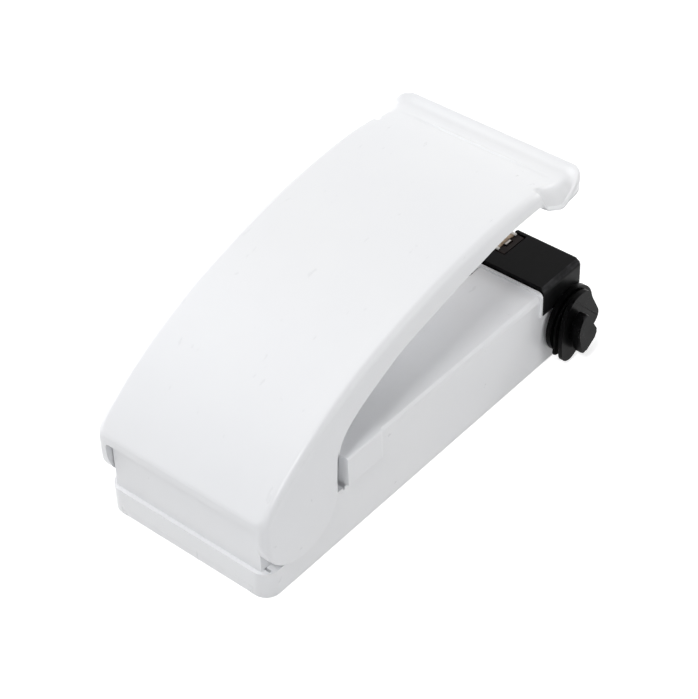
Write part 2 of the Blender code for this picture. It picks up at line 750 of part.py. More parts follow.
def lid_shape():
    bm = bmesh.new()
    outer, inner = [], []
    for x in lid_stations():
        outer.append([bm.verts.new((x, y, z)) for y, z in outer_profile(x)])
        within = inner_x(x)
        inner.append([bm.verts.new((within, y, z)) for y, z in inner_profile(within)])
    last = len(outer[0]) - 1
    for grid in (outer, inner):
        for row, after in zip(grid, grid[1:]):
            for j in range(last):
                bm.faces.new((row[j], row[j + 1], after[j + 1], after[j]))
        bm.faces.new(grid[-1])
    for j in range(last):
        bm.faces.new((outer[0][j], outer[0][j + 1], inner[0][j + 1], inner[0][j]))
    for i in range(len(outer) - 1):
        for j in (0, last):
            bm.faces.new((outer[i][j], outer[i + 1][j], inner[i + 1][j], inner[i][j]))
    bm.faces.new((outer[-1][0], outer[-1][last], inner[-1][last], inner[-1][0]))
    return bm


# Base shell and what is moulded on it
def add_base_shell(holder, surface):
    radii = (BODY_REAR_CORNER, BODY_FRONT_CORNER, BODY_FRONT_CORNER, BODY_REAR_CORNER)
    outline = rounded_rectangle((0.0, -HALF_WIDTH), (BODY_FRONT_X, HALF_WIDTH), radii, CORNER_STEPS)
    body = prism(outline, 0.0, BODY_HEIGHT, "Z")
    middle = BODY_HEIGHT / 2
    bevel(body, BODY_TOP_ROUNDING, ROUNDING_STEPS, lambda a, b: a.z > middle and b.z > middle)
    shell = add_piece("base_shell", body, holder, surface)
    cut_base_outside(shell, holder)
    cut_base_inside(shell, holder)
    join_base_features(shell, holder)
    cut_base_openings(shell, holder)
    return shell


def pocket_outline():
    radius = EAR_RADIUS + EAR_GAP
    start = -pi + atan2(PIVOT_Z - BAND_HEIGHT, sqrt(radius ** 2 - (PIVOT_Z - BAND_HEIGHT) ** 2))
    end = -atan2(PIVOT_Z - SIDE_BLOCK_FOOT, sqrt(radius ** 2 - (PIVOT_Z - SIDE_BLOCK_FOOT) ** 2))
    high = BODY_HEIGHT + CUT_OVERRUN
    outline = [(-CUT_OVERRUN, high), (-CUT_OVERRUN, BAND_HEIGHT)]
    outline += arc((PIVOT_X, PIVOT_Z), radius, start, end, 2 * CORNER_STEPS)
    return outline + [(POCKET_FRONT_X, SIDE_BLOCK_FOOT), (POCKET_FRONT_X, high)]


def cut_base_outside(shell, holder):
    beyond_y = HALF_WIDTH + CUT_OVERRUN
    high = BODY_HEIGHT + CUT_OVERRUN
    slope_end = BAND_LEDGE + REAR_BLOCK_SLOPE
    rear_step = [(-CUT_OVERRUN, BAND_HEIGHT), (BAND_LEDGE, BAND_HEIGHT),
                 (BAND_LEDGE, BODY_HEIGHT - REAR_BLOCK_SHOULDER), (slope_end, BODY_HEIGHT),
                 (slope_end, high), (-CUT_OVERRUN, high)]
    cut(shell, "rear_step", prism(rear_step, -beyond_y, beyond_y, "Y"), holder)
    for side in SIDES:
        low_y, high_y = sorted((side * POCKET_Y, side * beyond_y))
        cut(shell, f"ear_pocket_{side}", prism(pocket_outline(), low_y, high_y, "Y"), holder)
    for side in SIDES:
        block = side_box(side, (POCKET_FRONT_X, POCKET_FRONT_X + SIDE_BLOCK_LENGTH),
                         (HALF_WIDTH - SIDE_BLOCK_INWARD, HALF_WIDTH + SIDE_BLOCK_PROUD),
                         (SIDE_BLOCK_FOOT, SIDE_BLOCK_TOP))
        outer = HALF_WIDTH
        front = POCKET_FRONT_X + SIDE_BLOCK_LENGTH / 2
        bevel(block, SIDE_BLOCK_ROUNDING, 2,
              lambda a, b: min(abs(a.y), abs(b.y)) > outer and max(a.x, b.x) > front)
        join(shell, f"side_block_{side}", block, holder)
    foot = SADDLE_FOOT - SEAT_GAP
    strap = [(-beyond_y, foot), (-NOSE_Y, foot), (-NOSE_Y, NOSE_Z), (NOSE_Y, NOSE_Z),
             (NOSE_Y, foot), (beyond_y, foot), (beyond_y, high), (-beyond_y, high)]
    cut(shell, "nose_strap", prism(strap, SADDLE_REAR_X - SEAT_GAP, BODY_LENGTH + CUT_OVERRUN, "X"),
        holder)
    cut(shell, "nose_front", box((NOSE_FRONT_X, -beyond_y, foot),
                                 (BODY_LENGTH + CUT_OVERRUN, beyond_y, high)), holder)


def cut_base_inside(shell, holder):
    bay_y = POCKET_Y - BODY_WALL
    bay_end = POCKET_FRONT_X + BODY_WALL
    nose_start = SADDLE_REAR_X - SEAT_GAP - BODY_WALL
    middle_y = HALF_WIDTH - BODY_WALL
    rooms = (("rear", BAY_REAR_X, bay_end + JOIN_DEPTH, bay_y, ROOF_Z),
             ("middle", bay_end, nose_start, middle_y, ROOF_Z),
             ("nose", nose_start - JOIN_DEPTH, NOSE_INNER_X, NOSE_INNER_Y, NOSE_ROOF_Z))
    for name, start, end, half, roof in rooms:
        cut(shell, f"{name}_room", box((start, -half, -CUT_OVERRUN), (end, half, roof)), holder)


def join_base_features(shell, holder):
    into_roof = ROOF_Z + JOIN_DEPTH
    for side in SIDES:
        low_y, high_y = sorted((side * PIN_INNER_Y, side * (POCKET_Y - JOIN_DEPTH)))
        join(shell, f"pin_boss_{side}",
             cylinder("Y", (PIVOT_X, PIVOT_Z), PIN_HOLE_RADIUS + PIN_BOSS_WALL, low_y, high_y), holder)
        rail = side_box(side, (BAY_REAR_X - JOIN_DEPTH, DOOR_FRONT_X),
                        (DOOR_HALF_WIDTH, HALF_WIDTH - BODY_WALL + JOIN_DEPTH), (0.0, DOOR_RAIL_HEIGHT))
        join(shell, f"door_rail_{side}", rail, holder)
    wall_y = DOOR_HALF_WIDTH - BODY_WALL
    join(shell, "bay_wall", box((BAY_FRONT_X, -wall_y, DOOR_RAIL_HEIGHT),
                                (BAY_FRONT_X + BAY_WALL, wall_y, into_roof)), holder)
    rib_end = CONTACT_RIB_X + CONTACT_RIB_THICKNESS
    join(shell, "contact_rib", box((CONTACT_RIB_X, -CONTACT_RIB_HALF_WIDTH, CONTACT_RIB_FOOT),
                                   (rib_end, CONTACT_RIB_HALF_WIDTH, into_roof)), holder)
    for name, x, y in screw_places():
        roof = ROOF_Z if x < SADDLE_REAR_X - BODY_WALL else NOSE_ROOF_Z
        post = cylinder("Z", (x, y), SCREW_POST_RADIUS, FLOOR_THICKNESS + SEAT_GAP, roof + JOIN_DEPTH)
        join(shell, f"post_{name}", post, holder)
    join(shell, "spring_peg",
         cylinder("Z", (SPRING_X, 0.0), SPRING_SEAT_PEG_RADIUS, BODY_HEIGHT - JOIN_DEPTH,
                  BODY_HEIGHT + SPRING_SEAT_PEG_HEIGHT), holder)
    join(shell, "shaft_boss",
         cylinder("Y", (LOCK_X, LOCK_Z), LOCK_BOSS_RADIUS, NOSE_INNER_Y - LOCK_BOSS_LENGTH,
                  NOSE_INNER_Y + JOIN_DEPTH), holder)


def cut_base_openings(shell, holder):
    passage = DOOR_HALF_WIDTH + SEAT_GAP
    over_door = FLOOR_THICKNESS + SEAT_GAP
    end = DOOR_FRONT_X + CUT_OVERRUN
    cut(shell, "door_passage", box((-CUT_OVERRUN, -passage, -CUT_OVERRUN),
                                   (end, passage, over_door)), holder)
    groove = passage + DOOR_TONGUE
    groove_low = FLOOR_THICKNESS - DOOR_TONGUE_HEIGHT - SEAT_GAP
    cut(shell, "tongue_passage", box((-CUT_OVERRUN, -groove, groove_low),
                                     (end, groove, over_door)), holder)
    for side in SIDES:
        inner, outer = PIN_INNER_Y - CUT_OVERRUN, POCKET_Y + CUT_OVERRUN
        low_y, high_y = sorted((side * inner, side * outer))
        cut(shell, f"pin_hole_{side}",
            cylinder("Y", (PIVOT_X, PIVOT_Z), PIN_HOLE_RADIUS, low_y, high_y), holder)
    for name, x, y in screw_places():
        top = SCREW_RECESS + SCREW_LENGTH
        cut(shell, f"post_hole_{name}",
            cylinder("Z", (x, y), SCREW_SHANK_RADIUS + RUNNING_GAP, 0.0, top), holder)
    stem = stem_box(SEAT_GAP)
    cut(shell, "heater_hole", box((*stem[0], NOSE_ROOF_Z - CUT_OVERRUN),
                                  (*stem[1], NOSE_Z + CUT_OVERRUN)), holder)
    reach = POST_LENGTH_X / 2 + POST_SLOT_GAP
    half = BRIDGE_HALF_WIDTH + POST_SLOT_GAP
    cut(shell, "post_slot", box((POST_X - reach, -half, NOSE_ROOF_Z - CUT_OVERRUN),
                                (POST_X + reach, half, BODY_HEIGHT + CUT_OVERRUN)), holder)
    cut(shell, "shaft_hole", cylinder("Y", (LOCK_X, LOCK_Z), SHAFT_HOLE_RADIUS,
                                      -HALF_WIDTH - CUT_OVERRUN, -NOSE_INNER_Y + CUT_OVERRUN), holder)
    cut(shell, "shaft_seat", cylinder("Y", (LOCK_X, LOCK_Z), SHAFT_HOLE_RADIUS,
                                      NOSE_INNER_Y - LOCK_BOSS_LENGTH - CUT_OVERRUN, NOSE_INNER_Y),
        holder)


def screw_places():
    places = []
    for end, x in (("rear", SCREW_REAR_X), ("front", SCREW_FRONT_X)):
        for hand, side in (("right", -1), ("left", 1)):
            places.append((f"{end}_{hand}", x, side * SCREW_Y))
    return places


def stem_box(gap):
    low = (HEATER_REAR_X + HEATER_STEM_SHOULDER - gap, -HEATER_CAP_HALF_WIDTH + HEATER_STEM_SIDE - gap)
    high = (HEATER_FRONT_X - HEATER_STEM_SHOULDER + gap, HEATER_CAP_HALF_WIDTH - HEATER_STEM_SIDE + gap)
    return low, high


# Floor of the base: bottom plate, battery door and screws
def add_floor(base, door, white, steel):
    wide = HALF_WIDTH - BODY_WALL - SEAT_GAP
    narrow = NOSE_INNER_Y - SEAT_GAP
    step_x = SADDLE_REAR_X - SEAT_GAP - BODY_WALL - SEAT_GAP
    front = NOSE_INNER_X - SEAT_GAP
    outline = [(FLOOR_REAR_X, -wide), (step_x, -wide), (step_x, -narrow), (front, -narrow),
               (front, narrow), (step_x, narrow), (step_x, wide), (FLOOR_REAR_X, wide)]
    plate = add_piece("bottom_plate", prism(outline, 0.0, FLOOR_THICKNESS, "Z"), base, white)
    head_low = SCREW_RECESS - SEAT_GAP - SCREW_HEAD_HEIGHT
    head_high = head_low + SCREW_HEAD_HEIGHT
    for name, x, y in screw_places():
        cut(plate, f"recess_{name}", cylinder("Z", (x, y), SCREW_HEAD_RADIUS + RUNNING_GAP,
                                              -CUT_OVERRUN, SCREW_RECESS), base)
        cut(plate, f"hole_{name}", cylinder("Z", (x, y), SCREW_SHANK_RADIUS + RUNNING_GAP,
                                            -CUT_OVERRUN, FLOOR_THICKNESS + CUT_OVERRUN), base)
        tip = head_high + SCREW_LENGTH - SCREW_RECESS
        profile = ((head_low, 0.0), (head_low, SCREW_HEAD_RADIUS), (head_high, SCREW_HEAD_RADIUS),
                   (head_high, SCREW_SHANK_RADIUS), (tip - SCREW_SHANK_RADIUS, SCREW_SHANK_RADIUS),
                   (tip, 0.0))
        add_piece(f"bottom_screw_{name}", turned(profile, "Z", (x, y), SCREW_SIDES), base, steel)
    add_battery_door(door, white)


def add_battery_door(holder, surface):
    half, tongue = DOOR_HALF_WIDTH, DOOR_HALF_WIDTH + DOOR_TONGUE
    low = FLOOR_THICKNESS - DOOR_TONGUE_HEIGHT
    section = [(-half, 0.0), (half, 0.0), (half, low), (tongue, low), (tongue, FLOOR_THICKNESS),
               (-tongue, FLOOR_THICKNESS), (-tongue, low), (-half, low)]
    panel = add_piece("battery_door", prism(section, 0.0, DOOR_FRONT_X, "X"), holder, surface)
    for k in range(DOOR_GROOVES):
        start = DOOR_GROOVE_START + k * DOOR_GROOVE_PITCH
        groove = box((start, -DOOR_GROOVE_HALF_LENGTH, -CUT_OVERRUN),
                     (start + DOOR_GROOVE_WIDTH, DOOR_GROOVE_HALF_LENGTH, DOOR_GROOVE_DEPTH))
        cut(panel, f"grip_groove_{k}", groove, holder)


# Battery bay
def add_cells(holder, surface):
    for name, side, facing in (("right", -1, -1), ("left", 1, 1)):
        if facing < 0:
            tip, flat = BAY_CONTACT_REAR_X, BAY_CONTACT_REAR_X + CELL_LENGTH
        else:
            tip, flat = BAY_CONTACT_FRONT_X, BAY_CONTACT_FRONT_X - CELL_LENGTH
        shoulder = tip - facing * CELL_NUB_LENGTH
        body, end = shoulder - facing * CELL_SHOULDER, flat + facing * CELL_SHOULDER
        edge_radius = CELL_RADIUS - CELL_SHOULDER
        profile = ((tip, 0.0), (tip, CELL_NUB_RADIUS), (shoulder, CELL_NUB_RADIUS),
                   (shoulder, edge_radius), (body, CELL_RADIUS), (end, CELL_RADIUS),
                   (flat, edge_radius), (flat, 0.0))
        add_piece(f"cell_{name}", turned(profile, "X", (side * CELL_Y, CELL_Z), CELL_SIDES), holder,
                  surface)


def coil_points(x_wide, x_narrow, y, z):
    count = COIL_TURNS * COIL_POINTS_PER_TURN
    points = []
    for k in range(count + 1):
        share = k / count
        radius = COIL_WIDE_RADIUS + (COIL_NARROW_RADIUS - COIL_WIDE_RADIUS) * share
        angle = 2 * pi * COIL_TURNS * share
        points.append((x_wide + (x_narrow - x_wide) * share, y + radius * cos(angle),
                       z + radius * sin(angle)))
    return points


def add_contacts(holder, surface, wire):
    reach = CELL_Y + PLATE_SIZE / 2
    high = PLATE_LOW + PLATE_SIZE
    add_piece("bridge_plate", box((BRIDGE_PLATE_X, -reach, PLATE_LOW),
                                  (BRIDGE_PLATE_X + PLATE_THICKNESS, reach, high)), holder, surface)
    for name, side in (("negative_plate", -1), ("positive_plate", 1)):
        plate = side_box(side, (FRONT_PLATE_X, FRONT_PLATE_X + PLATE_THICKNESS),
                         (CELL_Y - PLATE_SIZE / 2, reach), (PLATE_LOW, high))
        add_piece(name, plate, holder, surface)
    inset = COIL_WIRE_RADIUS
    rear = coil_points(BAY_CONTACT_REAR_X + inset, BAY_CONTACT_REAR_X + COIL_LENGTH - inset, CELL_Y, CELL_Z)
    front = coil_points(BAY_CONTACT_FRONT_X - inset, BAY_CONTACT_FRONT_X - COIL_LENGTH + inset, -CELL_Y,
                        CELL_Z)
    tube("bridge_coil", rear, COIL_WIRE_RADIUS, 1, holder, wire)
    tube("negative_coil", front, COIL_WIRE_RADIUS, 1, holder, wire)


# Hinge pins, held in the base and running in the ears
def add_hinge_pins(holder, surface):
    for name, side in (("right", -1), ("left", 1)):
        outer = EAR_OUTER_Y - PIN_SKIN - SEAT_GAP
        low_y, high_y = sorted((side * PIN_INNER_Y, side * outer))
        add_piece(f"hinge_pin_{name}", cylinder("Y", (PIVOT_X, PIVOT_Z), PIN_RADIUS, low_y, high_y),
                  holder, surface)


# Return spring: one open coil whose top plane leans with the underside of the lid
def return_spring_points():
    low = BODY_HEIGHT + SEAT_GAP + SPRING_WIRE_RADIUS
    rear, front = SPRING_X - SPRING_RADIUS, SPRING_X + SPRING_RADIUS
    slope = (lid_underside(front) - lid_underside(rear)) / (front - rear)
    clearance = SEAT_GAP * 2 + SPRING_WIRE_RADIUS * hypot(1, slope)
    height = lid_underside(SPRING_X) - clearance - low
    count = SPRING_TURNS * SPRING_POINTS_PER_TURN
    points = []
    for k in range(count + 1):
        share = k / count
        angle = 2 * pi * SPRING_TURNS * share
        reach = SPRING_RADIUS * cos(angle)
        rise = low + share * (height + slope * reach)
        points.append((SPRING_X + reach, SPRING_RADIUS * sin(angle), rise))
    return points


def least_turn_gap(points, per_turn, wire_radius):
    least = None
    for k, point in enumerate(points):
        for other in points[k + per_turn // 2:]:
            gap = (Vector(other) - Vector(point)).length - 2 * wire_radius
            least = gap if least is None else min(least, gap)
    return least


def add_return_spring(holder, surface):
    points = return_spring_points()
    gap = least_turn_gap(points, SPRING_POINTS_PER_TURN, SPRING_WIRE_RADIUS)
    print(f"return_spring: least gap between turns {gap:.5f} m, wanted over {SPRING_LEAST_GAP:.5f} m")
    tube("return_spring", points, SPRING_WIRE_RADIUS, 1, holder, surface)


# Nose: saddle, heater and its cloth
def add_saddle(holder, surface):
    outer = box((SADDLE_REAR_X, -SADDLE_Y, SADDLE_FOOT), (BODY_LENGTH, SADDLE_Y, SADDLE_TOP))
    middle = (SADDLE_FOOT + SADDLE_TOP) / 2
    near_front = BODY_LENGTH - SADDLE_ROUNDING

    def rounded(a, b):
        along_side = a.z > middle and b.z > middle and abs(a.y - b.y) < SADDLE_ROUNDING
        at_front = a.x > near_front and b.x > near_front and max(a.z, b.z) > middle
        return along_side or at_front

    bevel(outer, SADDLE_ROUNDING, ROUNDING_STEPS, rounded)
    saddle = add_piece("nose_saddle", outer, holder, surface)
    inner = box((SADDLE_REAR_X - CUT_OVERRUN, -NOSE_Y - SEAT_GAP, SADDLE_FOOT - CUT_OVERRUN),
                (NOSE_FRONT_X + SEAT_GAP, NOSE_Y + SEAT_GAP, NOSE_Z + SEAT_GAP))
    cut(saddle, "saddle_inside", inner, holder)
    half = HEATER_CAP_HALF_WIDTH + SEAT_GAP
    cut(saddle, "heater_window", box((HEATER_REAR_X - SEAT_GAP, -half, NOSE_Z - CUT_OVERRUN),
                                     (HEATER_FRONT_X + SEAT_GAP, half, SADDLE_TOP + CUT_OVERRUN)), holder)
    half = SADDLE_NOTCH_HALF_WIDTH
    cut(saddle, "front_notch", box((HEATER_FRONT_X, -half, NOSE_Z - FOIL_GAP),
                                   (BODY_LENGTH + CUT_OVERRUN, half, SADDLE_TOP + CUT_OVERRUN)), holder)


def add_heater(holder, bakelite, nichrome, cloth, rail):
    cap = box((HEATER_REAR_X, -HEATER_CAP_HALF_WIDTH, NOSE_Z + SEAT_GAP),
              (HEATER_FRONT_X, HEATER_CAP_HALF_WIDTH, HEATER_TOP))
    block = add_piece("heater_block", cap, holder, bakelite)
    stem = stem_box(0.0)
    join(block, "heater_stem", box((*stem[0], HEATER_FOOT), (*stem[1], NOSE_Z + 2 * SEAT_GAP)), holder)
    half_x = STRIP_WIDTH / 2
    for side in SIDES:
        slot = side_box(side, (HEATER_X - half_x - STRIP_SLOT_GAP, HEATER_X + half_x + STRIP_SLOT_GAP),
                        (STRIP_HALF_LENGTH - STRIP_THICKNESS - STRIP_SLOT_GAP,
                         STRIP_HALF_LENGTH + STRIP_SLOT_GAP),
                        (HEATER_FOOT - CUT_OVERRUN, HEATER_TOP + CUT_OVERRUN))
        cut(block, f"strip_slot_{side}", slot, holder)
    outer, inner = STRIP_HALF_LENGTH, STRIP_HALF_LENGTH - STRIP_THICKNESS
    tail, top = HEATER_FOOT - STRIP_TAIL, STRIP_Z + STRIP_THICKNESS
    strip = [(-outer, tail), (-inner, tail), (-inner, STRIP_Z), (inner, STRIP_Z), (inner, tail),
             (outer, tail), (outer, top), (-outer, top)]
    add_piece("heater_strip", prism(strip, HEATER_X - half_x, HEATER_X + half_x, "X"), holder, nichrome)
    add_cloth(holder, cloth, rail)


def add_cloth(holder, cloth, rail):
    low, high = HEATER_TOP + FOIL_GAP, CLOTH_TOP - CLOTH_THICKNESS
    start = HEATER_REAR_X + RAIL_INSET + RAIL_WIDTH + FOIL_GAP
    end = HEATER_FRONT_X - RAIL_INSET - RAIL_WIDTH - FOIL_GAP
    shoulder = (end - start) * CLOTH_SHOULDER_SHARE
    crest_in, crest_out = HEATER_X - STRIP_WIDTH / 2 - FOIL_GAP, HEATER_X + STRIP_WIDTH / 2 + FOIL_GAP
    under = [(start, low), (start + shoulder, low), (crest_in, high), (crest_out, high),
             (end - shoulder, low), (end, low)]
    over = [(x, z + CLOTH_THICKNESS) for x, z in reversed(under)]
    add_piece("heater_cloth", prism(under + over, -CLOTH_HALF_WIDTH, CLOTH_HALF_WIDTH, "Y"), holder, cloth)
    half = CLOTH_HALF_WIDTH + SEAT_GAP
    front_rail = HEATER_FRONT_X - RAIL_INSET - RAIL_WIDTH
    for name, x in (("rear", HEATER_REAR_X + RAIL_INSET), ("front", front_rail)):
        add_piece(f"cloth_rail_{name}", box((x, -half, low), (x + RAIL_WIDTH, half, low + RAIL_HEIGHT)),
                  holder, rail)


# Lid and what it carries; the pieces that work at the closed lid are made in their closed place
def add_lid(lid, closed, angle, white):
    shell = add_piece("lid_shell", lid_shape(), lid, white)
    for side in SIDES:
        inner, outer = EAR_INNER_Y - CUT_OVERRUN, EAR_OUTER_Y - PIN_SKIN
        low_y, high_y = sorted((side * inner, side * outer))
        cut(shell, f"ear_socket_{side}", cylinder("Y", (PIVOT_X, PIVOT_Z), PIN_HOLE_RADIUS, low_y, high_y),
            lid)
    peg_top = lid_underside(SPRING_X) + LID_PLATE / 2
    join(shell, "lid_peg", cylinder("Z", (SPRING_X, 0.0), SPRING_SEAT_PEG_RADIUS,
                                    lid_underside(SPRING_X) - SPRING_LID_PEG_LENGTH, peg_top), lid)
    post, bar, shoulder = POST_WIDTH / 2, POST_BAR_HALF_WIDTH, POST_TIP + POST_BAR_HEIGHT
    top = closed_plate(POST_X, angle)
    section = [(-bar, POST_TIP), (bar, POST_TIP), (bar, shoulder), (post, shoulder), (post, top),
               (-post, top), (-post, shoulder), (-bar, shoulder)]
    join(shell, "lid_post", prism(section, POST_X - POST_LENGTH_X / 2, POST_X + POST_LENGTH_X / 2, "X"),
         closed)
    for side in SIDES:
        centre = (HEATER_X, side * HOLDER_SCREW_Y)
        low = HOLDER_TOP + SEAT_GAP
        join(shell, f"holder_boss_{side}",
             cylinder("Z", centre, HOLDER_BOSS_RADIUS, low, low + HOLDER_BOSS_LENGTH), closed)
    for side in SIDES:
        centre = (HEATER_X, side * HOLDER_SCREW_Y)
        low = HOLDER_TOP - CUT_OVERRUN
        high = HOLDER_TOP - HOLDER_ROOF + PAD_SCREW_LENGTH + SEAT_GAP
        cut(shell, f"boss_hole_{side}",
            cylinder("Z", centre, PAD_SCREW_SHANK_RADIUS + RUNNING_GAP, low, high), closed)
    return shell


def add_pad(closed, holder_surface, rubber, steel):
    half_x = PAD_LENGTH / 2
    wall = SEAT_GAP + HOLDER_WALL
    body_y = PAD_HALF_WIDTH + wall
    outline = rounded_rectangle((HEATER_X - half_x - wall, -body_y - HOLDER_EAR),
                                (HEATER_X + half_x + wall, body_y + HOLDER_EAR),
                                (PAD_ROUNDING,) * 4, 2)
    plate = prism(outline, HOLDER_TOP - HOLDER_ROOF, HOLDER_TOP, "Z")
    carrier = add_piece("pad_holder", plate, closed, holder_surface)
    tray = box((HEATER_X - half_x - wall, -body_y, HOLDER_FOOT),
               (HEATER_X + half_x + wall, body_y, HOLDER_TOP - HOLDER_ROOF / 2))
    join(carrier, "holder_tray", tray, closed)
    pocket = box((HEATER_X - half_x - SEAT_GAP, -PAD_HALF_WIDTH - SEAT_GAP, HOLDER_FOOT - CUT_OVERRUN),
                 (HEATER_X + half_x + SEAT_GAP, PAD_HALF_WIDTH + SEAT_GAP, HOLDER_TOP - HOLDER_ROOF))
    cut(carrier, "holder_pocket", pocket, closed)
    pad = box((HEATER_X - half_x, -PAD_HALF_WIDTH, PAD_FOOT), (HEATER_X + half_x, PAD_HALF_WIDTH, PAD_TOP))
    middle = (PAD_FOOT + PAD_TOP) / 2
    bevel(pad, PAD_ROUNDING, 2, lambda a, b: a.z < middle and b.z < middle)
    add_piece("pressing_pad", pad, closed, rubber)
    for name, side in (("right", -1), ("left", 1)):
        centre = (HEATER_X, side * HOLDER_SCREW_Y)
        cut(carrier, f"holder_hole_{name}",
            cylinder("Z", centre, PAD_SCREW_SHANK_RADIUS + RUNNING_GAP, HOLDER_FOOT,
                     HOLDER_TOP + CUT_OVERRUN), closed)
        high = HOLDER_TOP - HOLDER_ROOF - SEAT_GAP
        low = high - PAD_SCREW_HEAD_HEIGHT
        tip = high + PAD_SCREW_LENGTH
        profile = ((low, 0.0), (low, PAD_SCREW_HEAD_RADIUS), (high, PAD_SCREW_HEAD_RADIUS),
                   (high, PAD_SCREW_SHANK_RADIUS), (tip - PAD_SCREW_SHANK_RADIUS, PAD_SCREW_SHANK_RADIUS),
                   (tip, 0.0))
        add_piece(f"holder_screw_{name}", turned(profile, "Z", centre, SCREW_SIDES), closed, steel)


# Switch
def add_switch(base, closed, brass):
    low, high = POST_TIP - FOIL_GAP - BRIDGE_THICKNESS, POST_TIP - FOIL_GAP
    prong_in = POST_BAR_HALF_WIDTH + FOIL_GAP
    prong_out = prong_in + BRIDGE_THICKNESS
    top = POST_TIP + POST_BAR_HEIGHT
    half = BRIDGE_HALF_WIDTH
    section = [(-half, low), (half, low), (half, high), (prong_out, high), (prong_out, top),
               (prong_in, top), (prong_in, high), (-prong_in, high), (-prong_in, top),
               (-prong_out, top), (-prong_out, high), (-half, high)]
    reach = POST_LENGTH_X / 2
    add_piece("switch_bridge", prism(section, POST_X - reach, POST_X + reach, "X"), closed, brass)
    start = CONTACT_RIB_X + CONTACT_RIB_THICKNESS + SEAT_GAP
    end = POST_X + reach + POST_SLOT_GAP
    under = CONTACT_Z - CONTACT_THICKNESS
    strip = [(start, under - CONTACT_LEG), (start + CONTACT_THICKNESS, under - CONTACT_LEG),
             (start + CONTACT_THICKNESS, under), (end, under), (end, CONTACT_Z), (start, CONTACT_Z)]
    for name, side in (("right", -1), ("left", 1)):
        middle = side * CONTACT_SPACING
        low_y, high_y = middle - CONTACT_WIDTH / 2, middle + CONTACT_WIDTH / 2
        add_piece(f"contact_strip_{name}", prism(strip, low_y, high_y, "Y"), base, brass)


# Rotary lock
# A leaning plate of the lock whose middle stands off the shaft
def leaning_plate(width, length, corner, offset):
    outline = rounded_rectangle((-width / 2, -length / 2), (width / 2, length / 2), (corner,) * 4, CORNER_STEPS)
    return turned_outline(outline, (LOCK_X + offset[0], LOCK_Z + offset[1]), LOCK_LEAN)


# Round plate with a tip at one side
def tipped_round(radius, tip_reach, tip_radius, lean):
    spread = acos((radius - tip_radius) / tip_reach)
    tip = (LOCK_X + tip_reach * cos(lean), LOCK_Z + tip_reach * sin(lean))
    outline = arc((LOCK_X, LOCK_Z), radius, lean + spread, lean + 2 * pi - spread, LOCK_DISC_SIDES)
    return outline + arc(tip, tip_radius, lean - spread, lean + spread, CORNER_STEPS)


def rounded_plate(outline, y_inner, y_outer):
    plate = prism(outline, y_outer, y_inner, "Y")
    return bevel(plate, LOCK_EDGE_ROUNDING, 2, lambda a, b: max(a.y, b.y) < (y_inner + y_outer) / 2)


